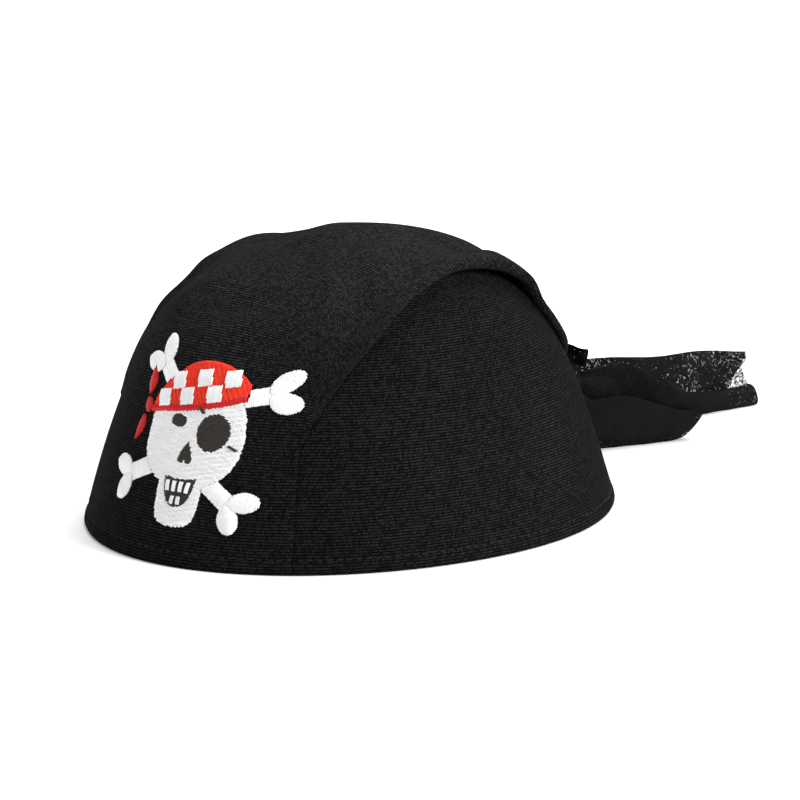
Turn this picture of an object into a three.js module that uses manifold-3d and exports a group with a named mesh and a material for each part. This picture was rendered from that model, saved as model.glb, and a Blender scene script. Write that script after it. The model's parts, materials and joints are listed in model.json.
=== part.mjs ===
// Child's pirate hat: a stiffened cloth dome dressed as a tied bandana.
// The crown cloth folds over two side panels, gathers at a knot at the back and
// ends in two loose tails. A skull and crossed bones is embroidered on the brow.
// Millimetres, +Z up, the face looks along -Y, +X is the wearer's left.
// The origin is the centre of the head opening, on the plane the rim stands on.
import * as THREE from "three";
import { ParametricGeometry } from "three/addons/geometries/ParametricGeometry.js";
import { TessellateModifier } from "three/addons/modifiers/TessellateModifier.js";
import { mergeVertices } from "three/addons/utils/BufferGeometryUtils.js";
import Module from "manifold-3d";

const { Manifold, Mesh: SolidMesh } = await loadSolids();

// ---- Driving dimensions, in millimetres and degrees ----
const RIM_LENGTH = 196; // front to back, outside the cloth
const RIM_WIDTH = 166; // ear to ear, outside the cloth
const CROWN_HEIGHT = 94;
const WALL_LEAN = 0.25; // inward lean of the wall, as a share of its height
const SHOULDER = 13; // how far below the crown the wall starts to turn over
const CROWN_FLATNESS = 0.56; // the flat of the crown, as a share of the rim's radius
const BACK_WIDENING = 0.05; // the oval is this much wider at the back of the head
const BACK_DROP = 0.02; // the crown is this much lower at the back

const CLOTH = 0.7;
const STIFFENER = 1.5;
const LINING = 0.5;
const BACKING = 0.4; // tear-away sheet behind the embroidery
const BAND = 0.7; // sweatband tape
const GAP = 0.3; // between neighbouring pieces
const FACET = 0.5; // the dome's flats lie this far inside its true curve
const SEAM_GAP = 0.8; // between the edges of two panels

const SEAM_ANGLE = 35; // where each side panel meets the brow, from the front
const FOLD_START = 38; // height at which the crown starts to fold over the side
const FOLD_DROP = 12; // the fold's highest point, below the crown
const FOLD_LIFT = 4.6; // how far the folded edge stands proud of the side panel
const FOLD_SPREAD = 14; // how far up the crown that bulge reaches
const TUCK = 8; // how far the side panel runs on under the fold

const HEM_HEIGHT = 6;
const BAND_HEIGHT = 25;

const KNOT_HEIGHT = 26; // centre of the knot above the rim
const KNOT_SIZE = { width: 22, depth: 15, height: 22 };
const NECK_RADIUS = 4.2; // gathered cloth where a tail leaves the knot
const NECK_SPREAD = { left: 8, right: -7.5 }; // across the knot
const NECK_DROP = 2; // the necks leave a little below the knot's middle
const TAIL_LEFT = { reach: 50, height: 30, tip: 23, thick: 7, heading: 25 };
const TAIL_RIGHT = { reach: 106, height: 29, tip: 21, thick: 6, heading: 11 };
const TAIL_FLARE = 20; // a tail opens out to its full height over this length
const FLAP = { thick: 2.4, root: 4, reach: 20.5, height: 4.5, droop: 3, heading: 78 };

const THREAD = 0.8; // thickness of the embroidery
const MOTIF_CENTRE = 6; // the motif sits a little to the wearer's left
const COLUMNS = 44; // facets round the dome
const ROWS = 10; // facets from the rim to the crown

// ---- Colours ----
const BLACK_CLOTH = [0x1d1d1e, 0.95];
const SHEER_CLOTH = [0x201d1d, 0.7];
const WHITE_THREAD = [0xeeeeee, 0.6];
const RED_THREAD = [0xd9230f, 0.6];
const DARK_THREAD = [0x36312e, 0.8];
const FELT = [0x2b2b2b, 1];

async function loadSolids() {
  const wasm = await Module();
  wasm.setup();
  return wasm;
}

// ---- The dome ----
const HALF_LENGTH = RIM_LENGTH / 2;
const HALF_WIDTH = RIM_WIDTH / 2;
const PROFILE_RADIUS = (HALF_LENGTH + HALF_WIDTH) / 2;
const WALL_TOP = CROWN_HEIGHT - SHOULDER;

// Half of the dome's section, from the rim to the crown.
const profile = new THREE.CubicBezierCurve(
  new THREE.Vector2(PROFILE_RADIUS, 0),
  new THREE.Vector2(PROFILE_RADIUS * (1 - WALL_LEAN), WALL_TOP),
  new THREE.Vector2(PROFILE_RADIUS * CROWN_FLATNESS, CROWN_HEIGHT),
  new THREE.Vector2(0, CROWN_HEIGHT),
);
const PROFILE_LENGTH = profile.getLength();

const smooth = THREE.MathUtils.smoothstep;
const radians = THREE.MathUtils.degToRad;

// A point on the dome's outer surface: angle from the front towards +X, and
// level from 0 at the rim to 1 at the crown, measured along the surface.
function surfacePoint(angle, level) {
  const section = profile.getPointAt(THREE.MathUtils.clamp(level, 0, 1));
  const share = section.x / PROFILE_RADIUS;
  const y = -HALF_LENGTH * share * Math.cos(radians(angle));
  const along = y / HALF_LENGTH;
  const x = HALF_WIDTH * share * Math.sin(radians(angle)) * (1 + BACK_WIDENING * along);
  return new THREE.Vector3(x, y, section.y * (1 - BACK_DROP * along));
}

// The way the cloth's thickness runs: square to the surface, and level at the rim.
function thicknessWay(angle, level) {
  const step = 0.002;
  const nearCrown = Math.min(level, 0.985);
  const below = surfacePoint(angle, Math.max(nearCrown - step, 0));
  const above = surfacePoint(angle, nearCrown + step);
  const before = surfacePoint(angle - 1, nearCrown);
  const after = surfacePoint(angle + 1, nearCrown);
  const way = after.sub(before).cross(above.sub(below)).normalize();
  way.z *= smooth(level, 0, 0.1);
  return way.normalize();
}

function domePoint(angle, level, offset) {
  if (level > 0.9999) {
    return new THREE.Vector3(0, 0, CROWN_HEIGHT + offset);
  }
  return surfacePoint(angle, level).addScaledVector(thicknessWay(angle, level), offset);
}

function levelAtHeight(height) {
  let low = 0;
  let high = 1;
  for (let turn = 0; turn < 30; turn++) {
    const middle = (low + high) / 2;
    if (profile.getPointAt(middle).y < height) low = middle;
    else high = middle;
  }
  return low;
}

// ---- The fold: its height above the rim at each angle from the front ----
const FOLD_TOP = CROWN_HEIGHT - FOLD_DROP;
const foldCurve = new THREE.SplineCurve([
  new THREE.Vector2(SEAM_ANGLE, FOLD_START),
  new THREE.Vector2(47, FOLD_TOP - 22),
  new THREE.Vector2(68, FOLD_TOP - 5),
  new THREE.Vector2(95, FOLD_TOP),
  new THREE.Vector2(121, FOLD_TOP - 6),
  new THREE.Vector2(140, FOLD_TOP - 30),
  new THREE.Vector2(180, KNOT_HEIGHT),
]);
const FOLD_STEPS = 28;
const foldPoints = foldCurve.getPoints(FOLD_STEPS);

function foldLevel(angle) {
  const away = Math.abs(angle);
  const next = foldPoints.findIndex((p) => p.x >= away);
  if (next === -1) return levelAtHeight(foldPoints[FOLD_STEPS].y);
  if (next === 0) return levelAtHeight(foldPoints[0].y);
  const [a, b] = [foldPoints[next - 1], foldPoints[next]];
  return levelAtHeight(a.y + ((b.y - a.y) * (away - a.x)) / (b.x - a.x));
}

// 0 where the crown cloth is flush with the side panel, 1 where it lies over it.
function overlap(angle, level) {
  const height = profile.getPointAt(level).y;
  const byHeight = smooth(height, FOLD_START, FOLD_START + 12);
  return Math.max(byHeight, smooth(Math.abs(angle), 70, 90));
}

function crownInner(angle, level) {
  return -CLOTH + (CLOTH + GAP) * overlap(angle, level);
}

function crownOuter(angle, level) {
  const aboveFold = Math.max(level - foldLevel(angle), 0) * PROFILE_LENGTH;
  const bulge = Math.exp(-((aboveFold / FOLD_SPREAD) ** 2));
  const along = smooth(Math.abs(angle), SEAM_ANGLE + 8, 120);
  return crownInner(angle, level) + CLOTH + FOLD_LIFT * bulge * along;
}

// ---- Solids ----
// Merges shared vertices and drops the faces that collapsed at a pole or an end.
function closed(geometry) {
  const bare = new THREE.BufferGeometry();
  bare.setAttribute("position", geometry.getAttribute("position"));
  bare.setIndex(geometry.getIndex());
  const merged = mergeVertices(bare, 1e-4);
  const kept = [];
  for (let i = 0; i < merged.index.count; i += 3) {
    const [a, b, c] = [0, 1, 2].map((k) => merged.index.getX(i + k));
    if (a !== b && b !== c && c !== a) kept.push(a, b, c);
  }
  merged.setIndex(kept);
  return merged;
}

function toSolid(geometry) {
  const merged = closed(geometry);
  return new Manifold(
    new SolidMesh({
      numProp: 3,
      vertProperties: new Float32Array(merged.getAttribute("position").array),
      triVerts: new Uint32Array(merged.index.array),
    }),
  );
}

function fromSolid(solid) {
  const { vertProperties, triVerts } = solid.getMesh();
  const geometry = new THREE.BufferGeometry();
  geometry.setAttribute("position", new THREE.BufferAttribute(vertProperties, 3));
  geometry.setIndex(new THREE.BufferAttribute(triVerts, 1));
  return geometry;
}

// A thin ring of the dome between two levels and two offsets from its surface.
function domeShell({ low = 0, high = 1, outer, inner, rows = ROWS, columns = COLUMNS }) {
  const offsetOf = (side) => (typeof side === "function" ? side : () => side);
  const [outside, inside] = [offsetOf(outer), offsetOf(inner)];
  const loop = 2 * rows + 2;
  const shape = (around, across, target) => {
    const angle = 180 - 360 * across;
    const step = Math.round(around * loop) % loop;
    const onOutside = step <= rows;
    const row = onOutside ? step : loop - 1 - step;
    const level = low + ((high - low) * row) / rows;
    const offset = onOutside ? outside(angle, level) : inside(angle, level);
    target.copy(domePoint(angle, level, offset));
  };
  return closed(new ParametricGeometry(shape, loop, columns));
}

// Everything on one side below the fold, as a block that cuts the dome's shells.
// `raised` runs its top edge up behind the fold, and `grow` widens it all round.
function sideBlock(side, raised, grow) {
  const bottom = surfacePoint(SEAM_ANGLE, 0).y - grow;
  const outline = foldPoints.map(({ x: angle, y: height }) => {
    const hidden = raised * smooth(angle, 48, 60);
    const level = levelAtHeight(height) + (hidden + grow) / PROFILE_LENGTH;
    const point = surfacePoint(angle, level);
    return new THREE.Vector2(point.y - (angle === SEAM_ANGLE ? grow : 0), point.z);
  });
  const last = outline[outline.length - 1];
  const shape = new THREE.Shape();
  shape.moveTo(bottom, -TUCK);
  shape.lineTo(bottom, 0);
  for (const point of outline) shape.lineTo(point.x, point.y);
  shape.lineTo(RIM_LENGTH, last.y);
  shape.lineTo(RIM_LENGTH, -TUCK);
  const block = new THREE.ExtrudeGeometry(shape, { depth: RIM_WIDTH, bevelEnabled: false });
  const across = new THREE.Matrix4().makeBasis(
    new THREE.Vector3(0, 1, 0),
    new THREE.Vector3(0, 0, 1),
    new THREE.Vector3(1, 0, 0),
  );
  const start = GAP / 2 - grow;
  across.setPosition(side > 0 ? start : -start - RIM_WIDTH, 0, 0);
  return toSolid(block.applyMatrix4(across));
}

function crownPart(shell, raised) {
  const bothSides = sideBlock(1, raised, SEAM_GAP).add(sideBlock(-1, raised, SEAM_GAP));
  return fromSolid(toSolid(shell).subtract(bothSides));
}

function sidePart(shell, side, raised) {
  return fromSolid(toSolid(shell).intersect(sideBlock(side, raised, 0)));
}

// ---- Cloth body ----
const SHEET_INNER = -CLOTH;
const BACKING_OUTER = SHEET_INNER - GAP - FACET;
const STIFFENER_OUTER = BACKING_OUTER - BACKING - GAP;
const STIFFENER_INNER = STIFFENER_OUTER - STIFFENER;
const LINING_OUTER = STIFFENER_INNER - GAP;
const LINING_INNER = LINING_OUTER - LINING;
const BAND_OUTER = LINING_INNER - GAP;
const BAND_INNER = BAND_OUTER - BAND;

function crownPanel() {
  return crownPart(domeShell({ outer: crownOuter, inner: crownInner }), 0);
}

function sidePanel(side) {
  return sidePart(domeShell({ outer: 0, inner: SHEET_INNER }), side, TUCK);
}

function stiffenerShell() {
  const low = levelAtHeight(CLOTH + GAP);
  return domeShell({ low, outer: STIFFENER_OUTER, inner: STIFFENER_INNER });
}

function lining() {
  const low = levelAtHeight(CLOTH + GAP);
  return domeShell({ low, outer: LINING_OUTER, inner: LINING_INNER });
}

function sweatband() {
  const low = levelAtHeight(HEM_HEIGHT + GAP);
  const high = levelAtHeight(HEM_HEIGHT + BAND_HEIGHT);
  return domeShell({ low, high, outer: BAND_OUTER, inner: BAND_INNER, rows: 2 });
}

// The cloth turned under the rim and up inside it, an L in section.
function turnedHem() {
  const top = levelAtHeight(HEM_HEIGHT);
  const sole = levelAtHeight(CLOTH);
  const section = [
    [0, SHEET_INNER - GAP],
    [sole, SHEET_INNER - GAP],
    [sole, BAND_OUTER],
    [top, BAND_OUTER],
    [top, BAND_INNER],
    [0, BAND_INNER],
  ];
  const shape = (around, across, target) => {
    const [level, offset] = section[Math.round(around * section.length) % section.length];
    target.copy(domePoint(180 - 360 * across, level, offset));
  };
  return closed(new ParametricGeometry(shape, section.length, COLUMNS));
}

// ---- Knot and tails ----
const foldEnd = foldLevel(180);
const knotFoot = domePoint(180, foldEnd, crownOuter(180, foldEnd)).y;
const KNOT_Y = knotFoot + GAP + FACET + KNOT_SIZE.depth / 2;
const NECK_Z = KNOT_HEIGHT - NECK_DROP;

// How far behind the knot's middle a neck sits, clear of the knot's round back.
function neckBehind(across) {
  const sideways = (2 * across) / KNOT_SIZE.width;
  const down = (2 * NECK_DROP) / KNOT_SIZE.height;
  const back = (KNOT_SIZE.depth / 2) * Math.sqrt(1 - sideways ** 2 - down ** 2);
  return back + NECK_RADIUS + 3 * GAP;
}

function knot() {
  const ball = new THREE.SphereGeometry(0.5, 16, 10);
  ball.scale(KNOT_SIZE.width, KNOT_SIZE.height, KNOT_SIZE.depth);
  return closed(ball.rotateX(Math.PI / 2));
}

// The free corner of the bandana, lying over the knot and drooping beside it.
function knotFlap() {
  const shape = new THREE.Shape();
  shape.moveTo(-FLAP.root, 0);
  shape.lineTo(2 * FLAP.root, 0);
  shape.lineTo(FLAP.reach * 0.75, -FLAP.droop);
  shape.lineTo(FLAP.reach, -FLAP.droop);
  shape.lineTo(FLAP.reach * 0.95, FLAP.height * 0.6);
  shape.quadraticCurveTo(FLAP.reach / 2, FLAP.height, -FLAP.root, FLAP.height * 0.7);
  return uprightSheet(shape, FLAP.thick);
}

function neck() {
  return closed(new THREE.SphereGeometry(NECK_RADIUS, 10, 8));
}

// Seen from the side, with its neck's centre at 0,0 and its lower edge on the floor.
function tail({ reach, height, tip, thick }) {
  const floor = -NECK_Z;
  const start = NECK_RADIUS + 0.5;
  const spread = start + TAIL_FLARE;
  const shape = new THREE.Shape();
  shape.moveTo(start, -NECK_RADIUS);
  shape.lineTo(spread, floor);
  shape.lineTo(reach * 0.75, floor);
  shape.quadraticCurveTo(reach, floor, reach, floor + tip * 0.3);
  shape.lineTo(reach - 2, floor + tip);
  shape.lineTo(spread, floor + height);
  shape.lineTo(start, NECK_RADIUS);
  return uprightSheet(shape, thick);
}

// A shape drawn in (y, z), given its thickness across x.
function uprightSheet(shape, thick) {
  const sheet = new THREE.ExtrudeGeometry(shape, { depth: thick, bevelEnabled: false, curveSegments: 5 });
  sheet.translate(0, 0, -thick / 2);
  const upright = new THREE.Matrix4().makeBasis(
    new THREE.Vector3(0, 1, 0),
    new THREE.Vector3(0, 0, 1),
    new THREE.Vector3(1, 0, 0),
  );
  return closed(sheet.applyMatrix4(upright));
}

// ---- Embroidery, drawn flat: x across the brow, y up along it from the rim ----
const MOTIF_EDGE = 9; // longest facet edge once the motif is bent to the brow

function bendToBrow(geometry, lift, face = crownOuter) {
  const position = geometry.getAttribute("position");
  const bent = new THREE.Vector3();
  for (let i = 0; i < position.count; i++) {
    bent.fromBufferAttribute(position, i);
    const level = bent.y / PROFILE_LENGTH;
    const share = profile.getPointAt(level).x / PROFILE_RADIUS;
    const sideways = (bent.x + MOTIF_CENTRE) / (HALF_WIDTH * share);
    const angle = THREE.MathUtils.radToDeg(Math.asin(THREE.MathUtils.clamp(sideways, -1, 1)));
    const offset = face(angle, level) + lift + bent.z;
    bent.copy(domePoint(angle, level, offset));
    position.setXYZ(i, bent.x, bent.y, bent.z);
  }
  return geometry;
}

function flatPatch(shape, thickness = THREAD) {
  return new THREE.ExtrudeGeometry(shape, { depth: thickness, bevelEnabled: false, curveSegments: 6 });
}

// A patch of stitches, less the shapes that other patches fill.
function stitched(shape, { cut = [], lift = GAP, thickness = THREAD, face } = {}) {
  let solid = toSolid(flatPatch(shape, thickness));
  for (const hole of cut) {
    const through = flatPatch(hole, 4 * thickness).translate(0, 0, -thickness);
    solid = solid.subtract(toSolid(through));
  }
  const fine = new TessellateModifier(MOTIF_EDGE, 8).modify(fromSolid(solid).toNonIndexed());
  return closed(bendToBrow(fine, lift, face));
}

function ellipse(x, y, halfWidth, halfHeight, tilt = 0) {
  return new THREE.Shape().absellipse(x, y, halfWidth, halfHeight, 0, 2 * Math.PI, false, radians(tilt));
}

const SKULL = { centre: 0.8, width: 38.5, top: 62, cheek: 31, jaw: 17.5, jawTop: 26, chin: 12.5 };

// A shape whose left half mirrors the given right half.
function bothHalves(rightHalf, centre) {
  const right = rightHalf.getPoints(5);
  const left = right.slice(1, -1).map(({ x, y }) => new THREE.Vector2(2 * centre - x, y));
  return new THREE.Shape([...right, ...left.reverse()]);
}

function skullShape(grow = 0) {
  const { centre, cheek, jawTop, top } = SKULL;
  const chin = SKULL.chin - grow;
  const jaw = SKULL.jaw / 2 + grow;
  const temple = SKULL.width / 2 + grow;
  const x = (share, wide) => centre + share * wide;
  const half = new THREE.Path();
  half.moveTo(centre, chin);
  half.bezierCurveTo(x(0.8, jaw), chin, x(0.9, jaw), chin + 2, x(0.95, jaw), chin + 6);
  half.lineTo(x(1, jaw), jawTop);
  half.bezierCurveTo(x(0.75, temple), jawTop + 2, x(0.95, temple), cheek + 1, x(0.97, temple), cheek + 6);
  half.bezierCurveTo(x(1.04, temple), top - 12, x(0.7, temple), top + grow, centre, top + grow);
  return bothHalves(half, centre);
}

// The headscarf: a cap on the forehead, its lower edge rising towards +X.
const SCARF = {
  left: SKULL.centre - SKULL.width / 2 - 0.5,
  leftY: 46.5,
  right: SKULL.centre + SKULL.width / 2 - 3,
  rightY: 54,
  top: 67,
};

function scarfShape(grow = 0) {
  const { left, leftY, right, rightY, top } = SCARF;
  const shape = new THREE.Shape();
  shape.moveTo(left - grow, leftY - grow);
  shape.bezierCurveTo(left / 2, leftY + 2 - grow, right / 3, rightY - 5 - grow, right + grow, rightY - grow);
  shape.lineTo(right + grow, rightY + 5 + grow);
  shape.bezierCurveTo(right / 2, top + 1 + grow, left / 4, top + grow, left / 2, top - 6 + grow);
  shape.quadraticCurveTo(left - grow, leftY + 7, left - grow, leftY - grow);
  return shape;
}

// One end of a bone: a shaft that comes out from the skull and two knuckles.
function boneShape({ from, to }) {
  const way = new THREE.Vector2(to[0] - from[0], to[1] - from[1]);
  const length = way.length();
  const turn = way.angle();
  const half = BONE.shaft / 2;
  const points = [];
  const lower = [
    [0, -half],
    [length - BONE.knuckle, -half],
  ];
  for (let step = 0; step <= 5; step++) {
    const around = radians(-110 + 42 * step);
    const along = length + BONE.knuckle * Math.cos(around);
    lower.push([along, BONE.knuckle * Math.sin(around) - BONE.knuckle]);
  }
  const upper = lower.map(([along, across]) => [along, -across]).reverse();
  for (const [along, across] of [...lower, ...upper]) {
    const point = new THREE.Vector2(along, across).rotateAround(new THREE.Vector2(), turn);
    points.push(point.add(new THREE.Vector2(...from)));
  }
  return new THREE.Shape(points);
}

const BONE = { shaft: 6, knuckle: 3.9 };
const BONES = {
  bone_upper_left: { from: [-8, 54], to: [-21, 64] },
  bone_upper_right: { from: [10, 53], to: [27, 57] },
  bone_lower_left: { from: [-12, 31], to: [-26, 24.5] },
  bone_lower_right: { from: [7, 30], to: [22, 19.5] },
};

const EYE = { x: -5.2, y: 45.5, halfWidth: 3.3, halfHeight: 2 };
const PATCH = { x: 8.8, y: 43, radius: 5.9 };
const NOSE = { x: 0.6, y: 35.8, halfWidth: 2.8, halfHeight: 3.5 };
const MOUTH = { x: 0.6, y: 23.4, halfWidth: 6.2, halfHeight: 4.6 };
const INLAY_GAP = 0.35;
const BACKING_CENTRE = [-1, 42];
const BACKING_SIZE = [35, 31];

function noseShape(grow = 0) {
  const { x, y } = NOSE;
  const wide = NOSE.halfWidth + grow;
  const tall = NOSE.halfHeight + grow;
  const half = new THREE.Path();
  half.moveTo(x, y - tall * 0.7);
  half.quadraticCurveTo(x + wide * 0.6, y - tall * 1.2, x + wide, y - tall * 0.7);
  half.quadraticCurveTo(x + wide, y, x, y + tall);
  return bothHalves(half, x);
}

function mouthShape(grow = 0) {
  const { x, y } = MOUTH;
  const wide = MOUTH.halfWidth + grow;
  const tall = MOUTH.halfHeight + grow;
  const half = new THREE.Path();
  half.moveTo(x, y - tall);
  half.quadraticCurveTo(x + wide * 0.9, y - tall, x + wide, y + tall);
  half.quadraticCurveTo(x + wide / 2, y + tall * 0.9, x, y + tall * 0.85);
  return bothHalves(half, x);
}

const eyeShape = (grow = 0) => ellipse(EYE.x, EYE.y, EYE.halfWidth + grow, EYE.halfHeight + grow);
const patchShape = (grow = 0) => ellipse(PATCH.x, PATCH.y, PATCH.radius + grow, PATCH.radius + grow);

function bar(from, to, width) {
  const way = new THREE.Vector2(...to).sub(new THREE.Vector2(...from));
  const across = new THREE.Vector2(-way.y, way.x).setLength(width / 2);
  const corners = [from, to].map((end) => new THREE.Vector2(...end));
  return new THREE.Shape([
    corners[0].clone().add(across),
    corners[0].clone().sub(across),
    corners[1].clone().sub(across),
    corners[1].clone().add(across),
  ]);
}

const STRAP_WIDTH = 0.9;
const STRAPS = {
  patch_strap_upper: {
    from: [PATCH.x - PATCH.radius * 0.75, PATCH.y + PATCH.radius * 0.95],
    to: [PATCH.x - 7, PATCH.y + 8],
  },
  patch_strap_lower: {
    from: [PATCH.x + PATCH.radius * 1.05, PATCH.y - PATCH.radius * 0.6],
    to: [PATCH.x + 9.5, PATCH.y - 5],
  },
};

// The two leaf-shaped ends of the scarf, above and below its knot.
const SCARF_KNOT = [SCARF.left - 2.6, SCARF.leftY + 1.5];
const scarfKnotShape = (grow = 0) => ellipse(...SCARF_KNOT, 1.9 + grow, 2.4 + grow);
const upperEndShape = (grow = 0) => leafShape([-0.5, 3], [-1.5, 12], 8, grow);
const lowerEndShape = (grow = 0) => leafShape([-1, -3], [-4, -12], 7, grow);

function leafShape(from, to, width, grow) {
  const knot = new THREE.Vector2(...SCARF_KNOT);
  const way = new THREE.Vector2(to[0] - from[0], to[1] - from[1]);
  const root = knot.clone().add(new THREE.Vector2(...from)).addScaledVector(way.clone().normalize(), -grow);
  const point = knot.clone().add(new THREE.Vector2(...to)).addScaledVector(way.clone().normalize(), grow);
  const side = new THREE.Vector2(-way.y, way.x).setLength(width / 2 + 2 * grow);
  const middle = root.clone().addScaledVector(way, 0.45);
  const [left, right] = [middle.clone().add(side), middle.clone().sub(side)];
  const shape = new THREE.Shape();
  shape.moveTo(root.x, root.y);
  shape.quadraticCurveTo(left.x, left.y, point.x, point.y);
  shape.quadraticCurveTo(right.x, right.y, root.x, root.y);
  return shape;
}

// White squares of the scarf's check, in two staggered rows along its lower edge.
const CHECK = { width: 4.6, height: 4.8, tilt: 12 };
const CHECKS = [
  [-13.5, 51.5],
  [-4, 53.2],
  [6, 55],
  [-9, 57.8],
  [1, 59.8],
  [10.8, 60.5],
];

function checkShape([x, y]) {
  const half = { across: CHECK.width / 2, up: CHECK.height / 2 };
  const corners = [
    [-half.across, -half.up],
    [half.across, -half.up],
    [half.across, half.up],
    [-half.across, half.up],
  ];
  return new THREE.Shape(
    corners.map(([across, up]) =>
      new THREE.Vector2(across, up)
        .rotateAround(new THREE.Vector2(), radians(CHECK.tilt))
        .add(new THREE.Vector2(x, y)),
    ),
  );
}

const TOOTH = { width: 1.6, upper: 3.2, lower: 2.4 };
const UPPER_TEETH = [-4.2, -1.4, 1.4, 4.2];
const LOWER_TEETH = [-1.3, 1.3];

// ---- Assembly ----
const hat = new THREE.Group();

function add(name, geometry, [color, roughness], parent = hat) {
  const material = new THREE.MeshStandardMaterial({ color, roughness, metalness: 0 });
  const mesh = new THREE.Mesh(geometry, material);
  mesh.name = name;
  parent.add(mesh);
  return mesh;
}

function addClothBody() {
  const stiffener = stiffenerShell();
  add("crown_panel", crownPanel(), BLACK_CLOTH);
  add("crown_stiffener", crownPart(stiffener, TUCK), FELT);
  for (const [name, side] of [
    ["left", 1],
    ["right", -1],
  ]) {
    add(`side_panel_${name}`, sidePanel(side), BLACK_CLOTH);
    add(`side_stiffener_${name}`, sidePart(stiffener, side, TUCK), FELT);
  }
  add("lining", lining(), BLACK_CLOTH);
  add("sweatband", sweatband(), BLACK_CLOTH);
  add("turned_hem", turnedHem(), BLACK_CLOTH);
}

function addKnot() {
  add("knot", knot(), SHEER_CLOTH).position.set(0, KNOT_Y, KNOT_HEIGHT);
  const flap = add("knot_flap", knotFlap(), SHEER_CLOTH);
  flap.position.set(0, KNOT_Y, KNOT_HEIGHT + KNOT_SIZE.height / 2 + GAP);
  flap.rotation.z = -radians(FLAP.heading);
}

function addTail(name, size, across) {
  const turned = new THREE.Group();
  turned.position.set(across, KNOT_Y + neckBehind(across), NECK_Z);
  turned.rotation.z = -radians(size.heading);
  add(`${name}_neck`, neck(), SHEER_CLOTH, turned);
  add(name, tail(size), SHEER_CLOTH, turned);
  hat.add(turned);
}

const ON_TOP = { lift: THREAD + 2 * GAP, thickness: THREAD / 2 };

function addStitched(name, shape, colour, options) {
  add(name, stitched(shape, options), colour);
}

function addMotif() {
  const features = [eyeShape, patchShape, noseShape, mouthShape];
  const ofSkull = [scarfShape, scarfKnotShape, ...features].map((shape) => shape(INLAY_GAP));
  addStitched("skull", skullShape(), WHITE_THREAD, { cut: ofSkull });
  for (const [name, bone] of Object.entries(BONES)) {
    const cut = [skullShape(INLAY_GAP), scarfShape(INLAY_GAP), upperEndShape(INLAY_GAP)];
    addStitched(name, boneShape(bone), WHITE_THREAD, { cut });
  }
  addStitched("scarf_band", scarfShape(), RED_THREAD);
  addStitched("scarf_knot", scarfKnotShape(), RED_THREAD);
  addStitched("scarf_end_upper", upperEndShape(), RED_THREAD);
  addStitched("scarf_end_lower", lowerEndShape(), RED_THREAD);
  CHECKS.forEach((place, i) => {
    addStitched(`scarf_check_${i + 1}`, checkShape(place), WHITE_THREAD, ON_TOP);
  });
  addStitched("eye_socket", eyeShape(), DARK_THREAD);
  addStitched("eye_patch", patchShape(), DARK_THREAD);
  addStitched("nose_hole", noseShape(), DARK_THREAD);
  addStitched("mouth", mouthShape(), DARK_THREAD);
  for (const [name, { from, to }] of Object.entries(STRAPS)) {
    addStitched(name, bar(from, to, STRAP_WIDTH), DARK_THREAD, ON_TOP);
  }
  addTeeth("tooth_upper", UPPER_TEETH, MOUTH.y + MOUTH.halfHeight * 0.7, -TOOTH.upper);
  addTeeth("tooth_lower", LOWER_TEETH, MOUTH.y - MOUTH.halfHeight * 0.85, TOOTH.lower);
  const behind = { thickness: BACKING, lift: -GAP - FACET - BACKING, face: crownInner };
  addStitched("motif_backing", ellipse(...BACKING_CENTRE, ...BACKING_SIZE), FELT, behind);
}

function addTeeth(name, row, gum, length) {
  row.forEach((x, i) => {
    const tooth = bar([MOUTH.x + x, gum], [MOUTH.x + x * 0.9, gum + length], TOOTH.width);
    addStitched(`${name}_${i + 1}`, tooth, WHITE_THREAD, ON_TOP);
  });
}

addClothBody();
addKnot();
addTail("tail_left", TAIL_LEFT, NECK_SPREAD.left);
addTail("tail_right", TAIL_RIGHT, NECK_SPREAD.right);
addMotif();

export default hat;
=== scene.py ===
import json
import math
import random

import bmesh
import bpy
import numpy as np
from bpy.props import FloatProperty, FloatVectorProperty, PointerProperty
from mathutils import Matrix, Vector


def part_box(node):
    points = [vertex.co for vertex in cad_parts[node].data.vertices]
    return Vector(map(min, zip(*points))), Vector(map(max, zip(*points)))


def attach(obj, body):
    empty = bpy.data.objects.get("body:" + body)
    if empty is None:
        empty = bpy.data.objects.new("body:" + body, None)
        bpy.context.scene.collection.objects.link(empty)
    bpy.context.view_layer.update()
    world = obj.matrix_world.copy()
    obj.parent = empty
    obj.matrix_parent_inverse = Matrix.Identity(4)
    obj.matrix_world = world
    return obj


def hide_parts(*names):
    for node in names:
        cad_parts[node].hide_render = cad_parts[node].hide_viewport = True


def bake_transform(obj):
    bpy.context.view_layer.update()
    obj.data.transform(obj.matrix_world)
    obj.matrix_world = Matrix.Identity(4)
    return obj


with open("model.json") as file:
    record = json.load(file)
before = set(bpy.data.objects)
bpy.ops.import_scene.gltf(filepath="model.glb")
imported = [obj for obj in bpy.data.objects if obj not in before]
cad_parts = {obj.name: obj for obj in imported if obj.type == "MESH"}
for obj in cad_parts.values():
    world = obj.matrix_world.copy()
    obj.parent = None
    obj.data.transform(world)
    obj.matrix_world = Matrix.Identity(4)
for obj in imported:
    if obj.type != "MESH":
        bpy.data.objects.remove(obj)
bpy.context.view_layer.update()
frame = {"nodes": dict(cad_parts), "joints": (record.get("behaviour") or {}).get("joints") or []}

bl_info = {
    "name": "Child's pirate hat",
    "version": (1, 0, 0),
    "blender": (4, 5, 0),
    "location": "3D View > Sidebar > Pirate Hat",
    "description": "Makes the cloth, knot, tails and embroidery of a child's pirate hat",
    "category": "Add Mesh",
}

MM = 0.001
JOINTS = {joint["name"]: joint for joint in frame["joints"]}
CROWN_LOW, CROWN_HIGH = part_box("crown_panel")
SIDE_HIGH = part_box("side_panel_left")[1]
CROWN_STANDS_OFF = 0.001  # the crown cloth lies this far over the dome


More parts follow.
